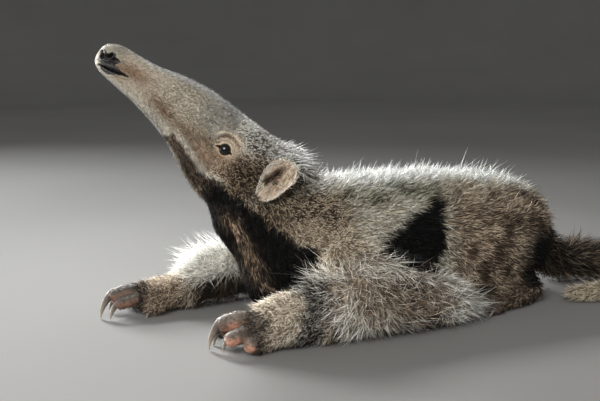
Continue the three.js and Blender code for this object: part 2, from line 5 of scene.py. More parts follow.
import bmesh
import bpy
import numpy as np
import openvdb
from mathutils import Matrix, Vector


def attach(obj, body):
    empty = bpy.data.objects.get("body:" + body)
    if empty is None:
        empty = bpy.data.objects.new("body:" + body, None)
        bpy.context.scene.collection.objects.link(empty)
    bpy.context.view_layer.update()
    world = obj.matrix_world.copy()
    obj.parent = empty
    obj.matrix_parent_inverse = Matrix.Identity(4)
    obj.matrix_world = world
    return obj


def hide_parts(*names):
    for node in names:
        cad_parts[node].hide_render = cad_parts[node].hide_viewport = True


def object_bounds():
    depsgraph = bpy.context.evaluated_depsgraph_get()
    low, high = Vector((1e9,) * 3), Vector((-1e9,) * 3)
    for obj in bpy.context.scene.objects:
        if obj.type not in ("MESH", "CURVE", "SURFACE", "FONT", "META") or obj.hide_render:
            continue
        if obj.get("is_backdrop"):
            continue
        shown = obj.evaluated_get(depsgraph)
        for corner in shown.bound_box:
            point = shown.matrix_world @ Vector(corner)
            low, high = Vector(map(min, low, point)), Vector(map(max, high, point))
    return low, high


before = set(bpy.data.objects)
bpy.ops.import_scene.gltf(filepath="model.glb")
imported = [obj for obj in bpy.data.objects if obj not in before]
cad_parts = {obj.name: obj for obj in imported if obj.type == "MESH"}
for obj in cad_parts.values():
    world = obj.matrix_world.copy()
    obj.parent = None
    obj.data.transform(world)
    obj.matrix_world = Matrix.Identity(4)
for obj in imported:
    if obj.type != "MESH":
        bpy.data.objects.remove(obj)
cad_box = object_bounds()

# Lengths are in millimetres until a mesh is made, and then in metres.
MM = 0.001
SEED = 11
SQUARE = 2.2  # how full the sections are: 2 is an ellipse
UP = np.array([0.0, 0.0, 1.0])
NAPE = np.array([0.77, -0.2, 0.6])  # where the top of the neck faces

# The head's own frame: X forward, Y left, Z up.
HEAD_PITCH = 36.0
HEAD_YAW = 15.0
EAR_LINE = (-120.4, 7.8, 115.2)

# The camera of the photo.
CAMERA = {"at": (-356.0, -601.0, 210.0), "turn": -23.0, "down": 10.0, "lens": 50.0, "sensor": 36.0}

VOXEL = 1.9  # of the field that the skin is drawn from
BELLY_LIFT = 2.4  # room for hair between the skin and the floor
COAT_TRIANGLES = 197_000  # in the fullest coat pieces

# Stations of each form: centre x, y, z, then half width, height above and depth below, and how
# far the skin lies under them. The head's are in its own frame.
HEAD = [
    (-20, 0, -4, 26, 23.5, 26, 5.5),
    (-6, 0, -4, 33, 31, 36, 5),
    (14, 0, -5, 35, 32.5, 44, 4.2),
    (34, 0, -5, 31.5, 31.5, 44, 3.2),
    (52, 0, -4, 26, 30, 38, 2.2),
    (72, 0, -2, 21.5, 28.5, 29, 1.6),
    (92, 0, -1, 18.5, 25, 21.8, 1.2),
    (116, 0, -1, 15, 19.8, 15.6, 0.8),
    (134, 0, 0, 12.8, 16.4, 14.2, 0.6),
    (148, 0, 1, 12, 14.2, 13.2, 0.5),
    (155, 0, 1, 11.2, 12, 11.8, 0.5),
    (159, 0, 1, 9.3, 9.2, 9.2, 0.5),
]
NECK = [
    (-137, 12, 112, 28, 24, 43, 5),
    (-129, 10, 100, 36, 35, 50, 5),
    (-112, 5.5, 76, 43, 46, 53, 5.5),
    (-96, 1, 55, 47, 50, 63, 6),
    (-80, -1, 36, 44, 46, 64, 6),
]
TORSO = [
    (-126, 4, 36, 32, 28, 36, 5),
    (-106, 2, 47, 46, 48, 49, 6),
    (-78, 0, 55, 54, 57, 58, 7),
    (-38, 0, 58, 58, 56, 61, 7.5),
    (4, 0, 58, 60, 56, 61, 7.5),
    (44, 0, 57, 61, 54, 60, 7.5),
    (80, 0, 55, 59, 51, 57, 7.5),
    (103, 0, 52, 50, 44, 51, 7),
    (119, 0, 48, 37, 31, 40, 6),
]
UPPER_ARM_LEFT = [
    (-86, -40, 66, 28, 22, 30, 6),
    (-68, -52, 50, 29, 25, 30, 6),
    (-36, -60, 36, 27, 24, 30, 6.5),
    (-6, -62, 25, 24, 18, 27, 7),
    (12, -62, 17, 17, 13, 19, 7),
]
FOREARM_LEFT = [
    (-4, -63, 23, 20, 18, 25, 6),
    (-44, -66, 26, 24, 25, 28, 6.5),
    (-84, -66, 27, 24, 28, 29, 6.5),
    (-114, -64, 25, 20.5, 23, 27, 4.5),
]
HAND_LEFT = [
    (-112, -64, 24, 20.5, 21, 26, 4.5),
    (-132, -63, 22, 21.5, 20, 24, 3.5),
    (-150, -61.5, 19, 20, 17.5, 20.5, 2.8),
    (-160, -60, 17, 16.5, 14, 17, 2.5),
]
UPPER_ARM_RIGHT = [
    (-84, 38, 70, 28, 22, 30, 6),
    (-72, 50, 56, 29, 24, 30, 6),
    (-56, 60, 38, 26, 22, 30, 6.5),
    (-42, 64, 25, 21, 18, 27, 6.5),
]
FOREARM_RIGHT = [
    (-54, 66, 24, 20, 18, 26, 6),
    (-95, 68, 27, 24, 25, 29, 6.5),
    (-135, 66, 27, 24, 24, 29, 6.5),
    (-163, 62, 23, 20, 19, 25, 5),
    (-182, 60, 18, 18.5, 12.5, 20, 4),
]
HAND_RIGHT = [
    (-180, 60, 18, 18.5, 12.5, 20, 3.5),
    (-200, 60, 16, 19, 11, 18, 2.5),
    (-213, 58, 15, 17.5, 10.5, 16.5, 2.5),
    (-222, 57, 14, 14.5, 10, 14.5, 2.2),
]
THIGH = [
    (100, 26, 64, 28, 31, 34, 6.5),
    (78, 34, 58, 31, 36, 38, 6.5),
    (50, 40, 49, 27, 32, 33, 6.5),
    (27, 43, 42, 21, 23, 27, 6),
]
SHANK = [
    (27, 45, 33, 17, 16, 18, 5),
    (60, 44, 26, 16, 16, 16, 4.5),
    (92, 40, 18, 13, 13, 15, 4),
]
HIND_FOOT = [
    (97, 41, 11, 11, 11, 12.5, 2.5),
    (78, 46, 10, 13, 10, 11.5, 2.2),
    (60, 49, 9.5, 14, 9.5, 11, 2),
    (48, 50, 9, 13, 8, 10, 1.5),
]
TAIL = [
    (116, 0, 52, 22, 22, 26, 6),
    (139, 1, 38, 19, 17, 22, 6),
    (158, 1, 23, 17, 15, 20, 6),
    (178, -2, 24, 18, 18, 25, 7),
    (200, -14, 21, 17, 17, 22, 7),
    (211, -36, 18, 15.5, 15, 19, 6.5),
    (204, -56, 15, 14, 13, 16, 6),
    (182, -67, 12, 12, 11, 13.5, 5),
    (155, -65, 10, 10, 9, 11.5, 4),
    (136, -60, 8.5, 8, 7.5, 9.5, 3.5),
]
DIGITS_LEFT = [
    (-149, -46, 10, -158, -41, 8, 5.6),
    (-158, -48, 15, -179, -43.5, 12, 6.4),
    (-160, -54, 21, -182, -52, 19.5, 7.2),
    (-158, -63, 14, -181, -66, 12, 6.8),
    (-154, -69, 9, -168, -72, 8, 7.8),
]
DIGITS_RIGHT = [
    (-204, 46, 10, -212, 43, 7, 5.4),
    (-213, 49, 15, -237, 46.5, 13, 6.2),
    (-219, 55, 19, -240, 54, 18.5, 7),
    (-217, 63, 13, -236, 66, 10.5, 6.4),
    (-207, 69, 10, -221, 73, 8, 7.2),
]
# Length, root radius, turn down along the length, and dip of the root, in degrees.
FORE_CLAWS = [(8, 2, 40, 20), (13, 3.5, 45, 30), (20, 4.4, 50, 32), (9, 2.5, 50, 30)]
HIND_CLAW = (9, 2.2, 35, 0)
HIND_TOES = 5
TOE_RADIUS = 4.6
WRINKLE = 3.6  # from one to the next along a digit
FINGER = (0.84, 0.9, 0.8)  # the skin's share of a digit's radius at its root, knuckle and end

EYE = {"at": (45, 22.8, -4), "out": (0.24, 0.93, 0.2), "radius": 5.4}
LIDS = {"half_length": 4.2, "half_height": 3.7, "bend": 0.025, "ridge": 0.8, "lean": 1.0}
LID_CORNERS = [(-6.0, 0, 0.12), (-3.5, 0, 1.0), (3.5, 0, 1.2), (7.0, 0, 0.15)]  # along the slit, up, radius
BROW = {"reach": 12.5, "from": 38, "to": 122}  # an arc over the eye, in degrees from the front corner
EAR = {"base": (6, 34.5, -20), "tip": (-2.5, 44.5, 16.5), "facing": (0.42, 0.9, 0.05), "half_width": 14.2}
EAR_CANAL = [(7.6, -7.0), (6.2, -2.5), (4.6, 5.0)]  # along the head and up, seen from the side
# Strokes on the side of the head: distance along it, height and radius.
NOSTRIL = [(159.6, 2.6, 1.1), (157.6, 0.2, 1.4), (154.6, 1.5, 1.7), (152.4, 4.8, 1.1)]
NOSTRIL_WING = [(149.6, 3.4, 1.1), (146.3, 4.1, 0.8)]
MOUTH = [(156.5, -6.6, 0.4), (151, -5.6, 1.1), (145.5, -4.2, 1.1), (139.5, -2.6, 0.7), (134.8, -1.5, 0.4)]
# Outline of the black wet skin round them.
WET = [
    (161.2, 4.4), (159.4, -2.8), (157, -5), (155, -7.8), (151, -9.2), (147, -8.4), (143.5, -6),
    (140.5, -3.9), (136, -2.8), (133.6, -1.6), (134.5, -0.5), (138, -0.9), (142, -0.6), (147.5, 0.2),
    (146, 2.3), (144.8, 4.2), (147, 5.6), (150, 5.1), (151.4, 6.7), (153.8, 7.0), (155.2, 4.4), (157.6, 4.4),
]

# Colours as seen, 0 to 255.
PINK_TAN = (176, 150, 127)
UMBER = (62, 46, 38)
BLACK = (19, 16, 15)
SKIN_PINK = (192, 138, 114)
SKIN_GREY = (96, 91, 82)
PAD_DARK = (58, 46, 40)
PAD_CREASE = (52, 40, 34)
HIND_PAD = (52, 44, 38)


def vec(*numbers):
    return np.array(numbers, float)


def unit(v):
    return v / np.maximum(np.linalg.norm(v, axis=-1, keepdims=True), 1e-9)


def without(vectors, normals):
    """Vectors less their part along the normals."""
    return vectors - normals * (vectors * normals).sum(1)[:, None]


def linear(colour):
    """A seen colour as Blender's scene-linear one."""
    c = np.asarray(colour, float) / 255.0
    return np.where(c <= 0.04045, c / 12.92, ((c + 0.055) / 1.055) ** 2.4)


def smoothstep(low, high, x):
    t = np.clip((x - low) / (high - low), 0, 1)
    return t * t * (3 - 2 * t)


def between(x, start, full, fading, end):
    """From 0 at the start to 1 where it is full, until it fades to 0 at the end."""
    return smoothstep(start, full, x) * smoothstep(end, fading, x)


def mix(a, b, t):
    """From a to b by t: numbers, colours, or a row of either."""
    a, b, t = (np.asarray(v, float) for v in (a, b, t))
    of_colours = any(v.ndim and v.shape[-1] == 3 for v in (a, b))
    if of_colours and t.ndim:
        t = t[:, None]
    return a * (1 - t) + b * t


def mirrored(rows):
    return [(row[0], -row[1], *row[2:]) for row in rows]


def bell(x, middle, width):
    """A bump that is 1 at its middle and fades within about its width."""
    return np.exp(-(((x - middle) / width) ** 2))


def cell_corners(t):
    """The corners of a grid's cell, and each axis's weight there for places t in the cell."""
    for corner in np.ndindex(2, 2, 2):
        yield corner, np.abs(1 - np.array(corner) - t)


class Noise:
    """Smooth noise from -1 to 1 on a repeating lattice."""

    SIZE = 32

    def __init__(self, seed):
        self.lattice = np.random.default_rng(seed).uniform(-1, 1, (self.SIZE,) * 3)

    def __call__(self, points, scale):
        place = np.asarray(points) / scale
        cell = np.floor(place).astype(int)
        t = smoothstep(0, 1, place - cell)
        total = 0
        for corner, weight in cell_corners(t):
            total = total + weight.prod(1) * self.lattice[tuple((cell + corner).T % self.SIZE)]
        return total


NOISES = [Noise(SEED + i) for i in range(6)]


# The head's frame.
def head_axes():
    pitch, yaw = math.radians(HEAD_PITCH), math.radians(HEAD_YAW)
    forward = vec(-math.cos(pitch) * math.cos(yaw), math.cos(pitch) * math.sin(yaw), math.sin(pitch))
    left = vec(-math.sin(yaw), -math.cos(yaw), 0)
    return np.stack([forward, left, np.cross(forward, left)])


HEAD_AXES = head_axes()


def to_head(points):
    return (np.asarray(points, float) - EAR_LINE) @ HEAD_AXES.T


def turned_from_head(vectors):
    return np.asarray(vectors, float) @ HEAD_AXES


def from_head(points):
    return turned_from_head(points) + EAR_LINE


# Faces of round forms, whose points run ring by ring.
def ring_quads(rings, sides):
    quads = []
    for first in range(0, (rings - 1) * sides, sides):
        for k in range(sides):
            a, b = first + k, first + (k + 1) % sides
            quads.append((a, b, b + sides, a + sides))
    return quads


def end_fans(rings, sides):
    """Triangles from the first and the last ring to the two points that follow the rings."""
    count, last = rings * sides, (rings - 1) * sides
    fans = []
    for k in range(sides):
        after = (k + 1) % sides
        fans += [(count, after, k), (count + 1, last + k, last + after)]
    return fans


def triangles_of(quads):
    return [corners for a, b, c, d in quads for corners in ((a, b, d), (b, c, d))]


def nearest(points, centres, block=20_000):
    """The index of the centre nearest to each point, a block of points at a time."""
    blocks = [points[k : k + block] for k in range(0, len(points), block)]
    found = [((part[:, None] - centres) ** 2).sum(2).argmin(1) for part in blocks]
    return np.concatenate([np.zeros(0, int), *found])


class Form:
    """A rounded form through stations, with the skin's own size."""

    def __init__(self, rows, caps, top=UP, in_head=False):
        rows = np.array(rows, float)
        rows[:, 3:6] -= rows[:, 6:7]
        self.rows = rows[:, :6]
        self.caps = (caps[0] - rows[0, 6], caps[1] - rows[-1, 6])
        self.top = top
        self.in_head = in_head
        share = np.linspace(0, 1, 61)
        self.line = self.sections(share)
        steps = np.linalg.norm(np.diff(self.line["centre"], axis=0), axis=1)
        self.length = steps.sum()

    def along(self, share):
        """Uniform Catmull-Rom through the stations."""
        place = np.clip(share, 0, 1) * (len(self.rows) - 1)
        i = np.minimum(place.astype(int), len(self.rows) - 2)
        t = (place - i)[:, None]
        a, b, c, d = (self.rows[np.clip(i + k, 0, len(self.rows) - 1)] for k in (-1, 0, 1, 2))
        return b + 0.5 * t * (c - a + t * (2 * a - 5 * b + 4 * c - d + t * (3 * (b - c) + d - a)))

    def sections(self, share):
        """Centres, axes and half sizes at shares of the length, in the part's frame."""
        share = np.asarray(share, float)
        step = 1e-3
        here = self.along(share)
        tangent = unit(self.along(share + step)[:, :3] - self.along(share - step)[:, :3])
        up = unit(self.top - tangent * (tangent @ self.top)[:, None])
        side = np.cross(up, tangent)
        centre = here[:, :3]
        if self.in_head:
            centre = from_head(centre)
            tangent, up, side = (turned_from_head(v) for v in (tangent, up, side))
        return {"centre": centre, "tangent": tangent, "up": up, "side": side, "half": here[:, 3:]}

    def loft(self, sides=40, rings=48, domes=7):
        """The closed surface: points and triangles, with a dome at each end."""
        line = self.sections(np.linspace(0, 1, rings + 1))
        angle = np.linspace(0, 2 * math.pi, sides, endpoint=False)
        c, s = np.cos(angle), np.sin(angle)
        across = np.sign(c) * np.abs(c) ** (2 / SQUARE)
        rise = np.sign(s) * np.abs(s) ** (2 / SQUARE)
        latitudes = np.linspace(0, math.pi / 2, domes + 1)[1:-1]
        rounds = [(0, -self.caps[0] * math.sin(a), math.cos(a)) for a in latitudes[::-1]]
        rounds += [(k, 0.0, 1.0) for k in range(rings + 1)]
        rounds += [(rings, self.caps[1] * math.sin(a), math.cos(a)) for a in latitudes]
        points = []
        for k, shift, scale in rounds:
            half = line["half"][k]
            wide = across * half[0] * scale
            tall = rise * np.where(s > 0, half[1], half[2]) * scale
            middle = line["centre"][k] + line["tangent"][k] * shift
            points.append(middle + np.outer(wide, line["side"][k]) + np.outer(tall, line["up"][k]))
        first = line["centre"][0] - line["tangent"][0] * self.caps[0]
        last = line["centre"][-1] + line["tangent"][-1] * self.caps[1]
        triangles = triangles_of(ring_quads(len(rounds), sides)) + end_fans(len(rounds), sides)
        return np.vstack([*points, first, last]), np.array(triangles)

    def place(self, points):
        """The nearest section's share, the angle round it in degrees, and how far out the points are."""
        section = nearest(points, self.line["centre"])
        offset = points - self.line["centre"][section]
        half = self.line["half"][section]
        wide, tall, ahead = ((offset * self.line[key][section]).sum(1) for key in ("side", "up", "tangent"))
        rise = np.where(tall > 0, half[:, 1], half[:, 2])
        out = np.sqrt((wide / half[:, 0]) ** 2 + (tall / rise) ** 2 + (ahead / 12.0) ** 2)
        share = section / (len(self.line["centre"]) - 1)
        return share, np.degrees(np.arctan2(tall / rise, wide / half[:, 0])) % 360, out


FORMS = {
    "head": Form(HEAD, (10, 3.5), in_head=True),
    "neck": Form(NECK, (10, 10), top=NAPE),
    "torso": Form(TORSO, (13, 12)),
    "upper_arm_left": Form(UPPER_ARM_LEFT, (10, 14)),
    "upper_arm_right": Form(UPPER_ARM_RIGHT, (10, 14)),
    "forearm_left": Form(FOREARM_LEFT, (10, 8)),
    "forearm_right": Form(FOREARM_RIGHT, (12, 6)),
    "hand_left": Form(HAND_LEFT, (6, 5)),
    "hand_right": Form(HAND_RIGHT, (6, 5)),
    "hind_leg_left": Form(mirrored(THIGH), (12, 16)),
    "hind_leg_right": Form(THIGH, (12, 16)),
    "shank_left": Form(mirrored(SHANK), (10, 10)),
    "shank_right": Form(SHANK, (10, 10)),
    "hind_foot_left": Form(mirrored(HIND_FOOT), (9, 6)),
    "hind_foot_right": Form(HIND_FOOT, (9, 6)),
    "tail": Form(TAIL, (10, 14)),
}
NAMES = list(FORMS)


def toe_rows(rows):
    """The toes fan out from the front end of a hind foot; rows as for a forefoot's digits."""
    x, y, z, width = rows[-1][:4]
    shares = [2 * i / (HIND_TOES - 1) - 1 for i in range(HIND_TOES)]
    return [
        (x + 2, y + s * (width - 3), z - 3, x - 7 + 4 * s**2, y + s * width, 5, TOE_RADIUS)
        for s in shares
    ]


# The skin is drawn from a field of distances to its forms.
class Field:
    """A box of distances to the skin, in millimetres, at the corners of a grid."""

    MARGIN = 8.0
    REACH = 9.0  # voxels either side of a surface where distances are true

    def __init__(self, low, high):
        self.low = np.floor((np.array(low) - self.MARGIN) / VOXEL).astype(int)
        high = np.ceil((np.array(high) + self.MARGIN) / VOXEL).astype(int)
        self.shape = tuple(high - self.low + 1)
        axes = [(np.arange(n) + start) * VOXEL for n, start in zip(self.shape, self.low)]
        self.axes = [a.astype(np.float32) for a in axes]
        self.far = self.REACH * VOXEL

    def of_mesh(self, points, triangles):
        transform = openvdb.createLinearTransform(voxelSize=VOXEL)
        grid = openvdb.FloatGrid.createLevelSetFromPolygons(
            points.astype(np.float32),
            triangles=triangles.astype(np.uint32),
            transform=transform,
            halfWidth=self.REACH,
        )
        values = np.full(self.shape, self.far, np.float32)
        grid.copyToArray(values, ijk=tuple(int(n) for n in self.low))
        return values

    def of_rod(self, start, end, radii):
        """A tapering rod with round ends."""
        values = np.full(self.shape, self.far, np.float32)
        reach = max(radii) + self.far
        low = np.floor((np.minimum(start, end) - reach) / VOXEL).astype(int) - self.low
        high = np.ceil((np.maximum(start, end) + reach) / VOXEL).astype(int) - self.low
        low, high = np.clip(low, 0, self.shape), np.clip(high, 0, self.shape)
        block = tuple(slice(a, b) for a, b in zip(low, high))
        grid = np.meshgrid(*(axis[part] for axis, part in zip(self.axes, block)), indexing="ij")
        values[block] = rod_gap(np.stack(grid, -1), start, end, radii)
        return values

    def polygons(self, values):
        grid = openvdb.FloatGrid(float(self.far))
        grid.copyFromArray(values, ijk=tuple(int(n) for n in self.low), tolerance=0.0)
        grid.transform = openvdb.createLinearTransform(voxelSize=VOXEL)
        points, triangles, quads = grid.convertToPolygons(isovalue=0.0, adaptivity=0.0)
        return points.astype(float), [*triangles.tolist(), *quads.tolist()]

    def sample(self, values, points):
        """Distances at points, and the way out from the skin there."""
        place = np.clip(points / VOXEL - self.low, 0, np.array(self.shape) - 1.001)
        cell = place.astype(int)
        distance, slope = 0, [0, 0, 0]
        for corner, weight in cell_corners(place - cell):
            value = values[tuple((cell + corner).T)].astype(float)
            distance = distance + value * weight.prod(1)
            for axis in range(3):
                others = np.delete(weight, axis, 1).prod(1)
                slope[axis] = slope[axis] + (2 * corner[axis] - 1) * value * others
        return distance, unit(np.stack(slope, 1))


def join(a, b, soft):
    """The union of two fields, with a fillet."""
    lap = np.maximum(soft - np.abs(a - b), 0) / soft
    return np.minimum(a, b) - lap * lap * soft * 0.25


def rod_gap(points, start, end, radii):
    """Distances of points to a tapering rod with round ends."""
    start, end = np.asarray(start, float), np.asarray(end, float)
    run = end - start
    share = np.clip((points - start) @ run / (run @ run), 0, 1)
    gap = np.linalg.norm(points - start - share[..., None] * run, axis=-1)
    return gap - (radii[0] + share * (radii[1] - radii[0]))


def finger(row):
    """The two lengths of a digit, arched at its knuckle: start, end and radii of each."""
    start, end, radius = vec(*row[:3]), vec(*row[3:6]), row[6]
    knuckle = start * 0.42 + end * 0.58 + vec(0, 0, 0.1 * radius)
    root, middle, tip = (radius * size for size in FINGER)
    return [(start, knuckle, (root, middle)), (knuckle, end, (middle, tip))]


def all_fingers():
    rows = [*DIGITS_LEFT, *DIGITS_RIGHT, *toe_rows(HIND_FOOT), *toe_rows(mirrored(HIND_FOOT))]
    return [rod for row in rows for rod in finger(row)]


FINGERS = all_fingers()
FINGER_FILLET = 2.2


def skin_field():
    """The field of the whole skin, and of the skin without its digits."""
    low, high = (np.array(v) / MM for v in cad_box)
    field = Field(low, high)
    shape = {name: field.of_mesh(*form.loft()) for name, form in FORMS.items()}
    body = join(join(shape["torso"], shape["neck"], 14), shape["head"], 9)
    for side, sign in (("left", 1), ("right", -1)):
        arm = join(shape[f"upper_arm_{side}"], shape[f"forearm_{side}"], 8)
        arm = join(arm, shape[f"hand_{side}"], 6)
        leg = join(shape[f"hind_leg_{side}"], shape[f"shank_{side}"], 6)
        leg = join(leg, shape[f"hind_foot_{side}"], 4)
        body = join(join(body, arm, 5), leg, 8)
        stalk = [from_head((t, sign * l, h)) for t, l, h in ((7, 23, -14), (1, 26, -3))]
        body = join(body, field.of_rod(*stalk, (6.5, 6)), 4)
    body = join(body, shape["tail"], 6)
    floor = np.float32(BELLY_LIFT) - field.axes[2][None, None, :]
    body = -join(-body, -np.broadcast_to(floor, body.shape), 2.5)
    digits = np.full(field.shape, field.far, np.float32)
    for rod in FINGERS:
        digits = np.minimum(digits, field.of_rod(*rod))
    return field, join(body, digits, FINGER_FILLET), body


def sharpen_digits(mesh, field, body, rows):
    """Draws the points of the feet onto their exact surface, which brings the creases back."""
    points = points_of(mesh)
    part = points[rows]

    def gap(at):
        digits = np.min([rod_gap(at, *rod) for rod in FINGERS], axis=0)
        return join(field.sample(body, at)[0], digits, FINGER_FILLET)

    for _ in range(3):
        here = gap(part)
        slope = [(gap(part + 0.3 * axis) - gap(part - 0.3 * axis)) / 0.6 for axis in np.eye(3)]
        part = part - unit(np.stack(slope, 1)) * np.clip(here, -1.5, 1.5)[:, None]
    points[rows] = part
    set_points(mesh, points)


def facing_out(points, faces):
    """The faces of a closed surface, all turned over if they face inwards."""
    centred = points - points.mean(0)
    volume = 0.0
    for face in faces[:: max(1, len(faces) // 4000)]:
        for b, c in zip(face[1:], face[2:]):
            volume += np.dot(centred[face[0]], np.cross(centred[b], centred[c]))
    return faces if volume > 0 else [face[::-1] for face in faces]


def new_object(name, data):
    made = bpy.data.objects.new(name, data)
    bpy.context.collection.objects.link(made)
    return made


def mesh_of(name, points, faces):
    """A mesh in metres from points in millimetres."""
    mesh = bpy.data.meshes.new(name)
    mesh.from_pydata((np.asarray(points) * MM).tolist(), [], faces)
    mesh.update()
    return mesh


def vectors_of(mesh, key):
    flat = np.empty(len(mesh.vertices) * 3, np.float32)
    mesh.vertices.foreach_get(key, flat)
    return flat.reshape(-1, 3).astype(float)


def points_of(mesh):
    return vectors_of(mesh, "co") / MM


def normals_of(mesh):
    return vectors_of(mesh, "normal")


def set_points(mesh, points):
    mesh.vertices.foreach_set("co", (points * MM).astype(np.float32).ravel())
    mesh.update()


def smooth_shaded(mesh):
    mesh.polygons.foreach_set("use_smooth", np.ones(len(mesh.polygons), bool))


# The eye's own frame on the left of the head: along the slit, up, and out of the head.
def eye_axes():
    out = unit(vec(*EYE["out"]))
    along = unit(vec(1, 0, 0) - out * out[0])
    lean = math.radians(LIDS["lean"])
    up = np.cross(out, along)
    up *= math.copysign(1, up[2])
    c, s = math.cos(lean), math.sin(lean)
    return np.stack([along * c - up * s, up * c + along * s, out])


EYE_AXES = eye_axes()


def mirrored_to_left(points):
    """Head-frame points with those of the right side brought over to the left."""
    return np.abs(points * (0, 1, 0)) + points * (1, 0, 1)


def to_eye(head):
    """Points in the head's frame, brought into the frame of the eye on their side."""
    return (mirrored_to_left(head) - EYE["at"]) @ EYE_AXES.T


def round_eye(e):
    """Distance from the middle of the eye, and the angle round it in degrees."""
    return np.hypot(e[:, 0], e[:, 1]), np.degrees(np.arctan2(e[:, 1], e[:, 0]))


def brow_arc(turn, longer=0):
    """Where the brow runs over the eye, from 0 to 1, and longer at its rear by some degrees."""
    start, end = BROW["from"], BROW["to"] + longer
    return between(turn, start - 18, start + 12, end - 8, end + 22)


def off_line(x, y, start, end):
    """Each point's share along the line from start to end, and its distance from it."""
    run = vec(*end) - start
    share = np.clip(((x - start[0]) * run[0] + (y - start[1]) * run[1]) / (run @ run), 0, 1)
    return share, np.hypot(x - start[0] - share * run[0], y - start[1] - share * run[1])


def stroke(t, h, line):
    """Distance of (t, h) to a line of discs, less their radius there; negative inside."""
    best = np.full(len(t), 99.0)
    for (*start, from_radius), (*end, to_radius) in zip(line, line[1:]):
        share, gap = off_line(t, h, start, end)
        best = np.minimum(best, gap - (from_radius + share * (to_radius - from_radius)))
    return best


def lid_edge(eye_points):
    """Distance outside the opening between the lids: a round one with a thin corner at each end."""
    a, b = eye_points[:, 0], eye_points[:, 1] + LIDS["bend"] * eye_points[:, 0] ** 2
    opening = (np.hypot(a / LIDS["half_length"], b / LIDS["half_height"]) - 1) * LIDS["half_height"]
    return np.minimum(opening, stroke(a, b, LID_CORNERS))


def face_relief(head):
    """How far the skin of the face stands out, in millimetres, at points in the head's frame."""
    t, l, h = mirrored_to_left(head).T

    e = to_eye(head)
    edge = lid_edge(e)
    reach, turn = round_eye(e)
    lid = LIDS["ridge"] * bell(edge, 1.0, 0.9) - 4.5 * smoothstep(0.3, -0.8, edge)
    crease = 0.3 * bell(edge, 4.0, 0.8) - 0.5 * bell(edge, 2.9, 0.5)
    brow = 1.7 * bell(reach, BROW["reach"], 1.2) - 0.9 * bell(reach, BROW["reach"] - 2.4, 1.0)
    bag = 0.5 * bell(reach, 7.6, 1.1) * between(turn, -150, -120, -50, -20)
    near_eye = (np.abs(e[:, 2]) < 12) & (l > 8)
    relief = np.where(near_eye, lid + crease + brow * brow_arc(turn) + bag, 0)

    side = smoothstep(3, 5.5, l)
    ahead = smoothstep(131, 136, t)
    nose, wing, lips = (stroke(t, h, line) for line in (NOSTRIL, NOSTRIL_WING, MOUTH))
    relief += side * (0.7 * bell(nose, 0.9, 0.8) - 4.2 * smoothstep(0.3, -1.2, nose))
    relief += side * (0.4 * bell(wing, 0.8, 0.7) - 1.6 * smoothstep(0.3, -0.9, wing))
    relief += ahead * (0.6 * bell(lips, 1.2, 0.9) - 2.6 * smoothstep(0.3, -0.7, lips))
    relief += side * 0.6 * blob(t, h, (153, 4), (8, 6))
    return relief


def digit_relief(points):
    """Height of the wrinkles on the digits, and how deep in a wrinkle each point lies."""
    rows = np.where((points[:, 2] < 45) & ((points[:, 0] < -130) | (points[:, 0] > 30)))[0]
    part = points[rows]
    near, place = np.full(len(part), 9.0), np.zeros(len(part))  # to a digit, and along it
    for first in range(0, len(FINGERS), 2):
        travelled = 0.0
        for start, end, radii in FINGERS[first : first + 2]:
            run = vec(*end) - start
            length = np.linalg.norm(run)
            gap = rod_gap(part, start, end, radii)
            share = np.clip((part - start) @ run / length**2, 0, 1)
            place = np.where(gap < near, travelled + share * length, place)
            near = np.minimum(near, gap)
            travelled += length
    fold = np.cos(place * 2 * math.pi / WRINKLE + 2.2 * NOISES[1](part, 5.0) + 1.0)
    patchy = smoothstep(-0.3, 0.4, NOISES[0](part, 5.0))
    deep = smoothstep(0.4, 1.0, fold) * smoothstep(2.0, 0.4, near) * patchy
    uneven = 0.45 * NOISES[2](part, 4.2) + 0.22 * NOISES[3](part, 1.7)
    relief, crease = np.zeros(len(points)), np.zeros(len(points))
    relief[rows] = uneven * smoothstep(2.5, 0.5, near) - 0.28 * deep
    crease[rows] = deep
    return relief, crease


def refine(mesh, chosen):
    """Splits the edges whose ends are both chosen, and evens the new surface."""
    bm = bmesh.new()
    bm.from_mesh(mesh)
    bm.verts.ensure_lookup_table()
    edges = [e for e in bm.edges if chosen[e.verts[0].index] and chosen[e.verts[1].index]]
    made = bmesh.ops.subdivide_edges(bm, edges=edges, cuts=1, use_grid_fill=True)
    verts = {v for v in made["geom_inner"] if isinstance(v, bmesh.types.BMVert)}
    verts |= {v for e in edges if e.is_valid for v in e.verts}
    for _ in range(3):
        bmesh.ops.smooth_vert(
            bm, verts=list(verts), factor=0.5, use_axis_x=True, use_axis_y=True, use_axis_z=True
        )
    bm.to_mesh(mesh)
    bm.free()


def ear_width(share, side):
    """Half the ear's width at a share of its height, narrower on the rear side, where side is above 0."""
    rear = 1 - 0.38 * smoothstep(0.05, 0.6, share)
    return EAR["half_width"] * np.sin(np.pi * share**1.6) ** 0.4 * np.where(side > 0, rear, 1)


def ear_form(share, w):
    """Depth of the ear's front and its thickness, up the ear by share and across it by w."""
    canal = bell(w, -0.16, 0.24) * bell(share, 0.54, 0.22)
    inner = np.clip(1 - w * w, 0, 1)
    hollow = 4.8 * np.sin(np.pi * share) ** 0.6 * inner**0.8 + 4.2 * canal
    rim = 0.8 * bell(np.abs(w), 1, 0.12)
    return rim + 0.5 * np.sin(9 * share) * w - hollow, 1.0 + 0.6 * inner


def ear_axes():
    base, tip, facing = (vec(*EAR[key]) for key in ("base", "tip", "facing"))
    rise = unit(tip - base)
    facing = unit(facing - rise * (facing @ rise))
    return base, rise, facing, np.cross(rise, facing), np.linalg.norm(tip - base)


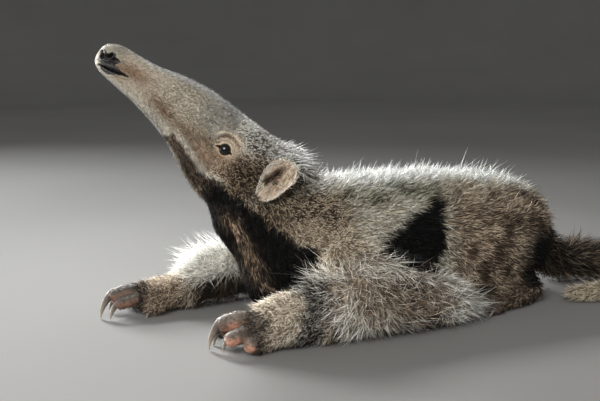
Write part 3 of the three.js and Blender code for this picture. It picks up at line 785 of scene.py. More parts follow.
def ear_leaf(sign):
    """The outer ear as a closed leaf: cupped in front, rounded behind, with a thin rim."""
    rows, columns = 40, 24
    base, rise, facing, across, length = ear_axes()
    w = np.sin(np.linspace(-1, 1, columns + 1) * math.pi / 2)
    rounds = []
    for i in range(rows + 1):
        share = 0.5 - 0.5 * math.cos(math.pi * (0.02 + 0.96 * i / rows))
        depth, thick = ear_form(share, w)
        middle = base + rise * share * length
        front = middle + np.outer(w * ear_width(share, w), across) + np.outer(depth, facing)
        rounds.append(np.vstack([front, (front - np.outer(thick, facing))[::-1]]))
    size = len(rounds[0])
    faces = ring_quads(rows + 1, size)
    faces.append(tuple(range(size))[::-1])
    faces.append(tuple(range(rows * size, (rows + 1) * size)))
    points = from_head(np.vstack(rounds) * (1, sign, 1))
    return points, facing_out(points, faces)


def cut(target, other, operation):
    """Joins or cuts a closed mesh object with another, and removes the other."""
    modifier = target.modifiers.new("join", "BOOLEAN")
    modifier.operation = operation
    modifier.solver = "EXACT"
    modifier.object = other
    bpy.context.view_layer.update()
    depsgraph = bpy.context.evaluated_depsgraph_get()
    made = bpy.data.meshes.new_from_object(target.evaluated_get(depsgraph))
    target.modifiers.clear()
    old = target.data
    target.data = made
    bpy.data.meshes.remove(old)
    bpy.data.objects.remove(other)


def on_digits(points):
    near = np.min([rod_gap(points, *rod) for rod in FINGERS], axis=0) < 2.5
    return near & (points[:, 2] < 40)


def build_skin():
    """The whole skin as one closed mesh, with the field that it is drawn from."""
    field, values, body = skin_field()
    points, faces = field.polygons(values)
    skin = new_object("skin", mesh_of("skin", points, facing_out(points, faces)))

    # Finer faces over the face and the digits, and finest by the mouth, the eyes and the foreclaws.
    for finest in (False, True):
        points = points_of(skin.data)
        head = mirrored_to_left(to_head(points))
        t, l, h = head.T
        if finest:
            eye = np.linalg.norm(head - EYE["at"], axis=1)
            chosen = (t > 128) & (l < 20) | (eye < 17) & (l > 12) | on_digits(points) & (points[:, 0] < 0)
        else:
            chosen = (t > 22) & (np.abs(h) < 45) & (l < 35) | on_digits(points)
        refine(skin.data, chosen)

    sharpen_digits(skin.data, field, body, np.where(on_digits(points_of(skin.data)))[0])
    points = points_of(skin.data)
    head = to_head(points)
    near = (head[:, 0] > 20) & (np.abs(head[:, 1]) < 36) & (np.abs(head[:, 2]) < 50)
    relief = digit_relief(points)[0]
    relief[near] = face_relief(head[near])
    set_points(skin.data, points + normals_of(skin.data) * relief[:, None])
    for sign in (1, -1):
        cut(skin, new_object("ear", mesh_of("ear", *ear_leaf(sign))), "UNION")
    smooth_shaded(skin.data)
    return skin, field, values


# Where points of the skin lie on the animal.
SOFTNESS = 0.09  # how far one form's coat runs into the next's, as a share of its thickness


class Places:
    """For points on the skin: their form, share along it, angle round it, and head coordinates."""

    def __init__(self, points, normals):
        self.points, self.normals = points, normals
        self.head = to_head(points)
        self.form = np.zeros(len(points), int)
        self.share = np.zeros(len(points))
        self.angle = np.zeros(len(points))
        best = np.full(len(points), 99.0)
        outs = np.full((len(points), len(NAMES)), 99.0)
        for index, name in enumerate(NAMES):
            form = FORMS[name]
            low = form.line["centre"].min(0) - 62
            high = form.line["centre"].max(0) + 62
            near = np.all((points > low) & (points < high), axis=1)
            if name.endswith("left"):
                near &= points[:, 1] < -8
            if name.endswith("right"):
                near &= points[:, 1] > 8
            rows = np.where(near)[0]
            share, angle, out = form.place(points[rows])
            outs[rows, index] = out
            better = out < best[rows]
            rows = rows[better]
            best[rows] = out[better]
            self.form[rows] = index
            self.share[rows] = share[better]
            self.angle[rows] = angle[better]
        weights = np.exp(-(outs - best[:, None]) / SOFTNESS)
        self.weights = weights / weights.sum(1, keepdims=True)
        self.ear = self.on_ear()

    def on_ear(self):
        """The outer ears, which stand off the head: 1 on them and 0 elsewhere."""
        share, w, _, depth = ear_place(self.head)
        front, thick = ear_form(share, np.clip(w, -1, 1))
        between = np.abs(depth - front + thick / 2) < thick / 2 + 0.5
        return (between & (np.abs(w) < 1.06) & (share > 0.04) & (np.abs(self.head[:, 1]) > 30)).astype(float)

    def on(self, *prefixes):
        """How far points belong to forms with these names, from 0 to 1."""
        chosen = [i for i, name in enumerate(NAMES) if name.startswith(prefixes)]
        return self.weights[:, chosen].sum(1)

    def take(self, rows):
        made = object.__new__(Places)
        for key, value in self.__dict__.items():
            setattr(made, key, value[rows])
        return made


def polygon_gap(x, y, corners):
    """Distance to a closed outline, negative inside."""
    inside = np.zeros(len(x), bool)
    best = np.full(len(x), np.inf)
    for start, end in zip(corners, corners[1:] + corners[:1]):
        best = np.minimum(best, off_line(x, y, start, end)[1])
        (x0, y0), (x1, y1) = start, end
        crosses = (y0 > y) != (y1 > y)
        inside ^= crosses & (x < (x1 - x0) * (y - y0) / (y1 - y0 + 1e-9) + x0)
    return np.where(inside, -best, best)


# The black wedge from the throat over the chest to a point on the flank, seen from the side.
BLACK_SIDE = [
    (-172, 113), (-156, 102), (-150, 93), (-136, 83), (-121, 68), (-106, 65), (-72, 64), (-44, 72),
    (-22, 86), (3, 99), (4, 90), (1, 60), (-12, 38), (-40, 14), (-60, -10), (-230, -10), (-230, 100),
]
# Its upper edge under the jaw, in the head's frame.
BLACK_JAW = [
    (88, -24), (84, -18.5), (77, -20), (64, -25), (54, -28.5), (35, -29), (16, -28.5), (-10, -31),
    (-10, -99), (95, -99),
]


# Height of the line where the pale coat of the near arm ends above, along the body.
ARM_LINE = [(-96, 63), (-68, 60), (-39, 50), (-19, 42), (-8, 38)]


def on_arms(places):
    """How far points have the long pale coat of the forelegs, from 0 to 1."""
    x, y, z = places.points.T
    line = np.where(y < 0, np.interp(x, *zip(*ARM_LINE)), 60)
    lower = places.on("upper") * smoothstep(line + 5, line - 3, z)
    return lower, np.clip(places.on("forearm", "hand") + lower * smoothstep(-106, -80, x), 0, 1)


def black_gap(places):
    """Distance outside the black markings, negative within them, and large on other forms."""
    x, _, z = places.points.T
    t, _, h = places.head.T
    body = polygon_gap(x, z, BLACK_SIDE) + 30 * on_arms(places)[0]
    jaw = polygon_gap(t, h, BLACK_JAW)
    on_body, on_head = places.on("torso", "neck", "upper"), places.on("head")
    by_head = np.where(on_head > 0.02, np.minimum(body, jaw), body)
    elsewhere = 1 - np.clip((on_body + on_head) * 1.5, 0, 1)
    return np.where(on_head > on_body, jaw, by_head) + 60 * elsewhere


def jaw_line(t, h):
    """Height above the black wedge under the jaw."""
    edge = [corner for corner in BLACK_JAW if corner[1] > -90][::-1]
    return h - np.interp(t, *zip(*edge))


def blob(a, b, at, radii, turn=0.0):
    """A soft spot, with its first radius turned anticlockwise by an angle in degrees."""
    c, s = math.cos(math.radians(turn)), math.sin(math.radians(turn))
    u, v = (a - at[0]) * c + (b - at[1]) * s, (b - at[1]) * c - (a - at[0]) * s
    return np.exp(-((u / radii[0]) ** 2 + (v / radii[1]) ** 2))


# Each kind of coat: its pale hairs, its dark hairs and the share of pale ones.
COATS = {
    "saddle": ((244, 238, 221), (160, 150, 130), 0.76),
    "saddle_top": ((170, 169, 149), (66, 64, 49), 0.44),
    "loin": ((222, 208, 184), (122, 107, 89), 0.6),
    "haunch": ((220, 201, 175), (98, 81, 66), 0.56),
    "haunch_patch": ((140, 118, 96), (50, 39, 30), 0.34),
    "shade": ((34, 28, 24), (10, 9, 8), 0.12),
    "crest": ((243, 245, 240), (180, 180, 168), 0.87),
    "neck": ((218, 200, 172), (44, 35, 27), 0.53),
    "neck_front": ((188, 167, 138), (40, 31, 24), 0.46),
    "nape": ((254, 254, 250), (200, 200, 190), 0.92),
    "snout": ((230, 222, 204), (134, 120, 102), 0.7),
    "snout_tip": ((172, 172, 158), (110, 105, 95), 0.66),
    "forehead": ((255, 251, 238), (112, 102, 86), 0.84),
    "crown": ((246, 243, 231), (62, 54, 42), 0.57),
    "crown_back": ((254, 254, 250), (140, 137, 125), 0.86),
    "cheek": ((172, 149, 120), (28, 20, 14), 0.42),
    "jaw": ((250, 244, 230), (160, 142, 122), 0.85),
    "flush": ((134, 100, 76), (86, 63, 47), 0.5),
    # Painted shade on the lower side of the snout, over its brown hair.
    "snout_shade": ((138, 112, 90), (78, 58, 44), 0.45),
    "orange": ((182, 148, 120), (116, 90, 68), 0.6),
    "eye_ring": ((222, 205, 182), (146, 128, 108), 0.74),
    "ear": ((242, 230, 210), (146, 127, 106), 0.78),
    "ear_rim": ((250, 242, 225), (196, 179, 156), 0.9),
    "ear_pit_shade": ((104, 82, 64), (40, 30, 24), 0.3),
    "arm": ((252, 248, 236), (122, 104, 84), 0.84),
    "arm_brown": ((160, 138, 112), (50, 38, 28), 0.38),
    "far_arm_low_shade": ((84, 68, 52), (28, 22, 17), 0.22),
    "wrist": ((180, 180, 172), (22, 21, 19), 0.34),
    "hand": ((244, 231, 210), (118, 101, 83), 0.7),
    "far_hand_shade": ((186, 167, 141), (72, 58, 45), 0.54),
    "fringe": ((112, 98, 82), (30, 26, 22), 0.3),
    "foot": ((150, 132, 112), (52, 42, 33), 0.42),
    "tail": ((116, 102, 84), (36, 29, 23), 0.34),
    "tail_tip": ((214, 204, 182), (130, 114, 94), 0.75),
    "black": ((20, 18, 16), (4, 4, 4), 0.12),
    "jaw_black": ((178, 156, 132), (30, 23, 18), 0.38),
    "throat_brown_highlight": ((226, 196, 165), (60, 47, 37), 0.68),
    "below_eye": ((236, 214, 188), (156, 131, 108), 0.78),
    "brow_light": ((246, 232, 210), (206, 186, 162), 0.9),
    "brow_shade": ((150, 124, 102), (92, 72, 56), 0.4),
    # Painted highlight along the top edge of the head.
    "rim": ((254, 253, 247), (226, 222, 208), 0.96),
    "far_fluff": ((228, 227, 220), (176, 168, 154), 0.9),
    "neck_low": ((250, 234, 208), (112, 95, 77), 0.7),
    "ear_inside_shade": ((226, 207, 182), (110, 90, 72), 0.66),
    "belly": ((92, 78, 64), (42, 34, 28), 0.3),
}


class Paint:
    """Layers of coat over points, each laid over the ones before by its weight."""

    def __init__(self, count):
        self.pale = np.zeros((count, 3))
        self.dark = np.zeros((count, 3))
        self.part = np.zeros(count)

    def lay(self, kind, weight):
        pale, dark, part = COATS[kind]
        weight = np.clip(weight, 0, 1)
        self.pale = mix(self.pale, pale, weight)
        self.dark = mix(self.dark, dark, weight)
        self.part = mix(self.part, part, weight)


class Ground:
    """What the markings are laid by, at points of the skin.

    x, y and z are millimetres in the part's frame, and t, l and h run along the head, out from
    its middle and up it. top is 1 along the top of a form and -1 beneath it.
    """

    def __init__(self, places):
        self.places, self.on = places, places.on
        self.x, self.y, self.z = places.points.T
        self.t, self.l, self.h = mirrored_to_left(places.head).T
        self.near = self.y < 0
        self.top = np.sin(np.radians(places.angle))
        self.wobble = NOISES[0](places.points, 9.0)
        self.fine = NOISES[1](places.points, 3.2)
        self.patch = NOISES[2](places.points * (1, 1, 0.6), 11.0) + 0.3 * self.wobble


def over_ridge(x, z):
    """Height above the line where the crest of the back begins."""
    return z - 104 + 0.17 * np.clip(x, 0, 200)


def paint_trunk(c, g):
    """Back and flanks, pale below and mottled olive under the white crest; neck and shoulders."""
    x, z, wobble = g.x, g.z, g.wobble
    c.lay("saddle", np.ones(len(x)))
    c.lay("saddle_top", smoothstep(90, 99, z + 3 * wobble) * smoothstep(22, -6, x) * (0.7 + 0.9 * g.patch))
    c.lay("loin", smoothstep(-2, 24, x + 4 * wobble))
    c.lay("haunch", smoothstep(2, 18, x) * smoothstep(98, 84, z + 4 * wobble))
    c.lay("haunch_patch", smoothstep(8, 30, x) * smoothstep(0.2, 0.6, g.patch) * smoothstep(102, 90, z))
    crest = smoothstep(28, 12, np.abs(g.y) + 4 * wobble) * smoothstep(-14, -4, over_ridge(x, z))
    c.lay("crest", crest * smoothstep(116, 92, x))

    shoulder = smoothstep(-66, -88, x + 3 * wobble)
    off_head = 1 - g.on("head")
    fore = np.maximum(g.on("neck"), shoulder) * off_head
    c.lay("neck", fore)
    c.lay("neck_low", 0.75 * fore * smoothstep(92, 72, z + 4 * wobble))
    c.lay("neck_front", fore * smoothstep(-112, -134, x + 0.35 * (z - 70)) * smoothstep(108, 92, z))
    nape = smoothstep(30, 12, np.abs(g.y - 4) + 3 * wobble) * smoothstep(92, 104, z)
    c.lay("nape", nape * shoulder * off_head)


def paint_head(c, g):
    """A pale snout that turns speckled towards the cheeks and crown, and the ring and brow of the eye."""
    t, l, h, wobble, fine, head = g.t, g.l, g.h, g.wobble, g.fine, g.on("head")
    c.lay("cheek", head)
    c.lay("forehead", head * smoothstep(-9, 5, h + 3 * wobble + 0.14 * (t - 45)) * smoothstep(14, 34, t))
    c.lay("crown", head * smoothstep(2, 14, h + 3 * wobble) * smoothstep(46, 28, t))
    c.lay("crown_back", head * smoothstep(11, 20, h + 2 * wobble) * smoothstep(28, 8, t))
    c.lay("snout", head * smoothstep(58, 92, t + 5 * fine))
    line = jaw_line(t, h) + 1.2 * fine
    c.lay("below_eye", head * blob(t, h, (58, -14), (22, 10), 18) * (l > 6))
    c.lay("jaw", head * smoothstep(9, 4, line) * between(t, 26, 40, 84, 100))
    # Pale hair under the snout, painted paler still as a rim highlight along its lower edge.
    c.lay("jaw", 0.95 * head * smoothstep(60, 72, t) * smoothstep(-0.5, -0.8, g.top))
    # Painted highlight: near-white hair along the top edge of the head and snout, standing for rim light.
    c.lay("rim", 0.95 * head * smoothstep(0.78, 0.97, g.top) * between(t, 20, 44, 128, 146))
    flush = np.maximum(blob(t, h, (134, 3), (16, 5.5), -8), blob(t, h, (143, 0), (9, 6)))
    c.lay("flush", 0.75 * head * flush)
    # Painted shade: darker brown along the lower middle of the snout's side, over the rusty brown of its
    # hair.
    snout_shade = np.maximum(blob(t, h, (101, -5.5), (17, 4.2), 12), 0.6 * blob(t, h, (83, -9), (11, 4), 4))
    c.lay("snout_shade", 0.85 * head * snout_shade * (0.95 + 0.4 * fine))
    c.lay("orange", 0.3 * head * blob(t, h, (56, -16), (8, 5)) * (l > 8))
    c.lay("snout_tip", 0.85 * head * smoothstep(140, 152, t) * smoothstep(-3, 3, h))

    c.lay("eye_ring", 0.85 * bare_ring(g))
    c.lay("orange", 0.7 * head * blob(t, h, (46.5, -10.5), (5, 2.6), 150) * (l > 10))
    reach, turn = round_eye(to_eye(g.places.head))
    over = brow_arc(turn, 8) * head * (l > 12)
    c.lay("brow_light", 0.9 * over * bell(reach, BROW["reach"], 1.1))
    c.lay("brow_shade", 0.7 * over * bell(reach, BROW["reach"] - 2.6, 1.0))


def bare_ring(g):
    """The thinly haired ring round the eye, from 0 to 1."""
    return g.on("head") * np.exp(-(ring_of(g.places) ** 4))


def paint_arms(c, g):
    """Forelegs: long cream hair over brown, a black wrist and a speckled hand."""
    x, z, wobble, near = g.x, g.z, g.wobble, g.near
    upper, fore, hand = g.on("upper_arm"), g.on("forearm"), g.on("hand")
    c.lay("arm", on_arms(g.places)[1])
    patches = smoothstep(0.0, 0.4, wobble + 0.3 * g.fine) * smoothstep(50, 36, z) * smoothstep(-6, -26, x)
    c.lay("arm_brown", (fore + upper * smoothstep(50, 40, z)) * patches)
    side = blob(x, z, (-54, 33), (30, 13), -12) * near * smoothstep(-0.5, 0.3, g.fine + 0.4)
    c.lay("arm_brown", 0.85 * (fore + upper) * side)
    c.lay("far_fluff", fore * ~near * smoothstep(-0.1, 0.3, g.top))
    # Painted shade: the low side of the far foreleg is darkened.
    c.lay("far_arm_low_shade", upper * ~near * smoothstep(34, 18, z))
    c.lay("far_arm_low_shade", fore * ~near * smoothstep(0.3, -0.1, g.top + 0.15 * wobble))
    reach = np.where(near, np.abs(x + 122 - 0.15 * (z - 20)), np.abs(x + 180))
    wrist = 0.85 * np.clip(fore + hand, 0, 1) * smoothstep(15, 4, reach + 4 * wobble)
    c.lay("hand", hand)
    c.lay("wrist", wrist * np.where(near, 1.0, 0.5 * smoothstep(0.5, 0.0, g.top)))
    # Painted shade: the low part of the far hand is darkened.
    c.lay("far_hand_shade", 0.8 * hand * ~near * smoothstep(30, 22, z))
    c.lay("fringe", hand * beyond_knuckles(g, (-152, -164), (-208, -222)))


def beyond_knuckles(g, near, far):
    """From 0 to 1 past a ragged line across the near and the far hand, given where it begins and ends."""
    ragged = g.x + 4 * g.wobble + 2 * g.fine
    return np.where(g.near, smoothstep(*near, ragged), smoothstep(*far, ragged))


def paint_rear(c, g):
    hind, tail = g.on("hind_leg", "shank"), g.on("tail")
    c.lay("haunch", hind)
    c.lay("haunch_patch", hind * smoothstep(0.16, 0.55, g.patch))
    behind = smoothstep(66, 88, g.x + 4 * g.wobble) * smoothstep(74, 52, g.z)
    c.lay("shade", (hind + g.on("torso")) * behind)
    c.lay("foot", g.on("hind_foot"))
    c.lay("tail", tail)
    c.lay("tail_tip", tail * smoothstep(0.7, 0.82, g.places.share))


def paint_black(c, g):
    """The black wedge, with brown hair down the front of the throat painted paler as a highlight, and the
    dark belly.
    """
    t, x, z, head = g.t, g.x, g.z, g.on("head")
    edge = black_gap(g.places) + 2.6 * g.wobble + 1.4 * g.fine
    inside = smoothstep(3.0, -3.0, edge)
    c.lay("black", inside)
    c.lay("jaw_black", inside * head * smoothstep(30, 48, t))
    # Painted highlight: paler brown along the front edge of the black throat, over its brown hair.
    lit_streak = bell(x + 0.42 * (z - 62), -150, 7) * between(z, 22, 40, 96, 112)
    lit_streak = lit_streak * (0.75 + 0.6 * g.fine) * smoothstep(34, 16, np.abs(g.y + 4))
    c.lay("throat_brown_highlight", lit_streak * (1 - head) * inside)
    # Pale hair along the bottom edge of the jaw, painted paler still as a rim highlight.
    c.lay("jaw", 0.55 * head * between(t, 26, 40, 80, 88) * smoothstep(-0.9, -0.985, g.top))
    c.lay("belly", g.on("torso") * smoothstep(22, 10, z))


def paint_ears(c, g):
    """The ears, with a pale rim, painted shade inside their hollow, and a canal darkened as painted shade,
    whose weight comes back.
    """
    ear, edge = g.places.ear, ear_place(g.places.head)[2]
    outward = g.places.normals @ HEAD_AXES.T * np.where(g.places.head[:, 1:2] < 0, (1, -1, 1), (1, 1, 1))
    in_front = smoothstep(-0.1, 0.3, outward @ unit(vec(*EAR["facing"])))
    c.lay("ear", ear)
    # Painted shade: darker towards the middle of the ear's hollow.
    c.lay("ear_inside_shade", 0.85 * ear * smoothstep(0.9, 0.35, edge) * in_front)
    c.lay("ear_rim", ear * smoothstep(0.78, 0.97, edge))
    # Painted shade in the ear canal.
    canal = stroke(g.t, g.h, [(*at, 1.0) for at in EAR_CANAL])
    pit_shade = 1.1 * ear * np.exp(-((canal / 1.8).clip(0, 9) ** 2)) * in_front
    c.lay("ear_pit_shade", pit_shade)
    return pit_shade


def skin_colour(c, g, digit, pit_shade):
    """The skin between the hairs, barer on the snout, round the eye, in the ears and on the digits."""
    skin = mix(c.dark, c.pale, 0.3 * c.part)
    snout = 0.9 * g.on("head") * smoothstep(54, 90, g.t)
    skin = mix(skin, mix(c.pale * 0.8, PINK_TAN, 0.18), snout)
    skin = mix(skin, mix(c.pale * 0.82, PINK_TAN, 0.25), bare_ring(g) * 0.9)
    skin = mix(skin, mix(c.pale * 0.75, SKIN_PINK, 0.25), g.places.ear * 0.8 * (1 - np.clip(pit_shade, 0, 1)))
    facing_down = smoothstep(0.55, -0.35, g.places.normals[:, 2] + 0.3 * g.wobble)
    pads = mix(SKIN_GREY, SKIN_PINK, 0.12 + 0.88 * facing_down)
    pads = mix(pads, PAD_DARK, np.clip(0.15 + 0.6 * g.patch + 0.4 * g.fine, 0, 0.7))
    pads = mix(pads, PAD_CREASE, 0.4 * digit_relief(g.places.points)[1])
    pads = mix(pads, HIND_PAD, 0.8 * (g.on("hind_foot") > 0.5))
    # The digits of the far side are darkened by a factor as painted shade.
    return mix(skin, pads * np.where(g.near, 1, 0.72)[:, None], digit)


def markings(places):
    """Pale and dark colours of the coat, the share of pale hair, and the bare skin's colour."""
    g = Ground(places)
    c = Paint(len(g.x))
    for paint in (paint_trunk, paint_head, paint_arms, paint_rear, paint_black):
        paint(c, g)
    pit_shade = paint_ears(c, g)
    digit = g.on("hand") * beyond_knuckles(g, (-159, -172), (-217, -230))
    digit = np.maximum(digit, g.on("hind_foot") * smoothstep(52, 46, g.x))
    skin = skin_colour(c, g, digit, pit_shade)
    return {"pale": c.pale, "dark": c.dark, "part": c.part, "skin": skin, "digit": digit}


def ring_of(places):
    """Distance from the middle of the bare ring round the eye, as a share of its radius."""
    t, l, h = mirrored_to_left(places.head).T
    return np.hypot(t - 45.5, h + 0.5) / 11.5 + 9 * (l < 10)


def ear_place(head):
    """For head-frame points: share up the ear, share across it, the larger of both, and depth."""
    base, rise, facing, across, length = ear_axes()
    p = mirrored_to_left(head) - base
    share = p @ rise / length
    inner = np.clip(share, 0.01, 0.99)
    w = p @ across / ear_width(inner, p @ across)
    return inner, w, np.maximum(np.abs(w), np.abs(2 * share - 1)), p @ facing


def wetness(head):
    """Black wet skin round the nostril and the mouth, from 0 to 1."""
    t, l, h = mirrored_to_left(head).T
    ragged = 0.5 * NOISES[5](np.asarray(head), 1.6) + 0.4 * NOISES[4](np.asarray(head), 4.0)
    patch = smoothstep(0.7, -0.3, polygon_gap(t, h, WET) + ragged) * smoothstep(3.5, 6, l)
    lips = smoothstep(1.0, 0.0, stroke(t, h, MOUTH) + ragged) * smoothstep(131, 135, t)
    return np.maximum(patch, lips) * (t > 125)


def lid_line(head):
    """The dark edge of the lids, from 0 to 1."""
    e = to_eye(head)
    return smoothstep(0.75, 0.15, lid_edge(e)) * (np.abs(head[:, 1]) > 12) * (np.abs(e[:, 2]) < 10)


def flow_coordinates(places):
    """Distance along and round each form in millimetres, for grain that follows the coat."""
    made = np.zeros((len(places.points), 3))
    for index, name in enumerate(NAMES):
        rows = places.form == index
        form = FORMS[name]
        made[rows, 0] = places.share[rows] * form.length
        made[rows, 1] = np.radians(places.angle[rows]) * form.line["half"].mean()
        made[rows, 2] = 40.0 * index
    on_head = places.on("head") > 0.5
    made[on_head, 0] = places.head[on_head, 0]
    return made


def set_attribute(mesh, name, kind, values):
    attribute = mesh.attributes.new(name, kind, "POINT")
    key = {"FLOAT_COLOR": "color", "FLOAT_VECTOR": "vector", "FLOAT": "value"}[kind]
    attribute.data.foreach_set(key, np.asarray(values, np.float32).ravel())


def rgba(colour):
    made = np.ones((len(colour), 4), np.float32)
    made[:, :3] = linear(colour)
    return made


def dress_skin(skin):
    """Colours and grain of the skin, from the same markings as the coat."""
    points, normals = points_of(skin.data), normals_of(skin.data)
    places = Places(points, normals)
    marks = markings(places)
    wet = wetness(places.head)
    colour = mix(marks["skin"], BLACK, np.clip(wet * 1.1, 0, 1))
    colour = mix(colour, UMBER, 0.9 * lid_line(places.head))
    set_attribute(skin.data, "tint", "FLOAT_COLOR", rgba(colour))
    set_attribute(skin.data, "wet", "FLOAT", wet)
    set_attribute(skin.data, "bare", "FLOAT", marks["digit"])
    set_attribute(skin.data, "flow", "FLOAT_VECTOR", flow_coordinates(places))
    return places


# The coat.
PIECES = [
    # name, forms, share of the fullest size, rings of a tuft between root and tip
    ("coat_face", ("head",), 1.0, 0),
    ("coat_head", ("head",), 1.0, 1),
    ("coat_neck", ("neck",), 0.8, 1),
    ("coat_back", ("torso",), 0.9, 1),
    ("coat_flanks", ("torso",), 1.0, 1),
    ("coat_arm_left", ("upper_arm_left", "forearm_left", "hand_left"), 1.0, 1),
    ("coat_arm_right", ("upper_arm_right", "forearm_right", "hand_right"), 1.0, 1),
    ("coat_rear", ("hind", "shank", "tail"), 0.95, 1),
]
FACE_FROM = 48.0  # where the face's short hair takes over, along the head
BACK_ANGLES = (50, 130)  # of the torso's sections


def in_piece(places, name, forms):
    index = [i for i, form in enumerate(NAMES) if form.startswith(forms)]
    chosen = np.isin(places.form, index)
    if name == "coat_face":
        return chosen & (places.head[:, 0] > FACE_FROM)
    if name == "coat_head":
        return chosen & (places.head[:, 0] <= FACE_FROM)
    back = (places.angle > BACK_ANGLES[0]) & (places.angle < BACK_ANGLES[1])
    if name == "coat_back":
        return chosen & back
    if name == "coat_flanks":
        return chosen & ~back
    return chosen


BACKWARDS = ("head", "forearm", "hind_leg")  # whose coat lies from their last station to their first
FALL = {"torso": 0.45, "neck": 0.15, "upper_arm": 0.35, "forearm": 0.3, "hind_leg": 0.75, "shank": 0.7}


def lie_of(places):
    """The way the coat lies, as unit vectors along the skin."""
    p = places
    x, y, z = p.points.T
    lie = np.zeros_like(p.points)
    for index, name in enumerate(NAMES):
        line = FORMS[name].line
        rows = np.where(p.weights[:, index] > 0.02)[0]
        section = nearest(p.points[rows], line["centre"])
        way = -1 if name.startswith(BACKWARDS) else 1
        lie[rows] += way * line["tangent"][section] * p.weights[rows, index][:, None]
    steep = np.clip(1 - np.abs(p.normals[:, 2]), 0, 1)
    fall = sum(amount * p.on(name) for name, amount in FALL.items())
    lie = lie + vec(0, 0, -1) * (fall * steep)[:, None]
    # The coat of a forearm lies forwards by the wrist and backwards by the elbow, and parts softly.
    for sign, wrist, elbow in ((-1, -106, -40), (1, -166, -104)):
        fore = p.on("forearm") * (np.sign(y) == sign)
        way = 2 * smoothstep(wrist, elbow, x) - 1
        lie = mix(lie, np.stack([way, 0 * way, 0.6 * np.abs(way) - 0.75], 1), fore)
    # Hair behind the elbow runs back and down to the floor.
    behind = p.on("upper_arm") * smoothstep(-30, 0, x) * smoothstep(40, 30, z)
    lie = mix(lie, np.tile(vec(0.95, 0, -0.3), (len(lie), 1)), behind)
    # Up the ears, and a little towards their back edge.
    up_ear = turned_from_head(unit(vec(*EAR["tip"]) - vec(*EAR["base"])) * vec(1, 0, 1))
    forward = turned_from_head(vec(1, 0, 0))
    lie = mix(lie, up_ear + np.outer(0.35 - 0.7 * ear_place(p.head)[0], forward), p.ear)
    # Away from the eye, within its ring.
    eye = mirrored_to_left(p.head) - EYE["at"]
    outward = unit(eye * (1, 0, 1)) * (1, 0, 1)
    near_eye = np.exp(-((np.hypot(eye[:, 0], eye[:, 2]) / 9.5) ** 4))
    near_eye = near_eye * (p.on("head") > 0.5) * (np.abs(p.head[:, 1]) > 12)
    lie = mix(lie, turned_from_head(outward + vec(-0.8, 0, 0)), 0.7 * near_eye)
    swirl = np.stack([n(p.points, 17.0) for n in NOISES[:3]], 1)
    return unit(without(lie + 0.3 * swirl, p.normals))


class Hair:
    """Length, width and lift of the hair at each root, how far it strays, and how it clumps."""

    def __init__(self, count):
        self.values = {key: np.zeros(count) for key in ("length", "width", "lift", "stray", "clump")}

    def put(self, weight, **sizes):
        weight = np.clip(weight, 0, 1)
        for key, size in sizes.items():
            self.values[key] = mix(self.values[key], size, weight)


def hair_of(places, marks):
    hair = Hair(len(places.points))
    size_trunk(hair.put, places)
    size_head(hair.put, places)
    size_limbs(hair.put, places, marks)
    return hair.values


def size_trunk(put, p):
    x, y, z = p.points.T
    put(np.ones(len(x)), length=9, width=0.54, lift=30, stray=0.4, clump=0.6)
    put(smoothstep(6, 34, x), length=8.5, width=0.52, lift=30, stray=0.34, clump=0.7)
    put(smoothstep(60, 100, x), length=12, width=0.6, lift=34, stray=0.36, clump=0.6)
    crest = smoothstep(28, 12, np.abs(y)) * smoothstep(-14, -4, over_ridge(x, z))
    put(crest, length=15, lift=54, stray=0.36, clump=0.8)
    shoulder = smoothstep(-66, -88, x)
    put(np.maximum(p.on("neck"), shoulder), length=4.8, width=0.48, lift=34, stray=0.6, clump=0.4)
    throat = smoothstep(2.0, -3.0, black_gap(p)) * p.on("neck", "torso")
    put(throat, length=8, width=0.5, lift=16, stray=0.2, clump=0.3)
    nape = smoothstep(30, 12, np.abs(y - 4)) * smoothstep(92, 104, z) * shoulder
    put(nape, length=14, width=0.68, lift=60, stray=0.42, clump=0.9)


def size_head(put, p):
    """Short on the snout, longer over the crown, and closest round the eye and on the ears."""
    t, l, h = mirrored_to_left(p.head).T
    head, top = p.on("head"), np.sin(np.radians(p.angle))
    put(head, length=3.4, width=0.66, lift=34, stray=0.6, clump=0.3)
    put(head * smoothstep(40, 56, t), length=3.2, width=0.56, lift=26, stray=0.3, clump=0.1)
    put(head * smoothstep(66, 90, t), length=2.4, width=0.42, lift=22, stray=0.26, clump=0.1)
    put(head * smoothstep(96, 125, t), length=1.5, width=0.32, lift=18, stray=0.3)
    put(head * smoothstep(0.8, 0.97, top) * between(t, 30, 50, 100, 140), length=3.4, lift=56)
    put(head * smoothstep(0.8, 0.97, -top) * between(t, 70, 80, 110, 140), length=2.6, lift=50)
    crown = head * smoothstep(8, 16, h) * smoothstep(60, 36, t)
    put(crown, length=3.8, width=0.6, lift=42, stray=0.5, clump=0.2)
    crown_back = head * smoothstep(12, 20, h) * smoothstep(18, 0, t)
    put(crown_back, length=11, width=0.7, lift=62, stray=0.42, clump=0.8)
    put(head * smoothstep(8, 17, h) * smoothstep(10, -6, t), length=17, lift=60)
    by_ear = head * blob(t, h, (6, -2), (20, 22)) * smoothstep(16, 22, l)
    put(by_ear, length=2.4, width=0.46, lift=24)
    jaw = head * smoothstep(-25, -30, h) * smoothstep(92, 60, t)
    put(jaw, length=5, width=0.4, lift=26, stray=0.4, clump=0.3)
    put(head * np.exp(-(ring_of(p) ** 4)), length=1.7, width=0.4, lift=16, stray=0.3)
    put(p.ear, length=5.5, width=0.42, lift=11, stray=0.2, clump=0.2)
    put(p.ear * smoothstep(0.8, 0.95, ear_place(p.head)[2]), length=3.0, lift=24)


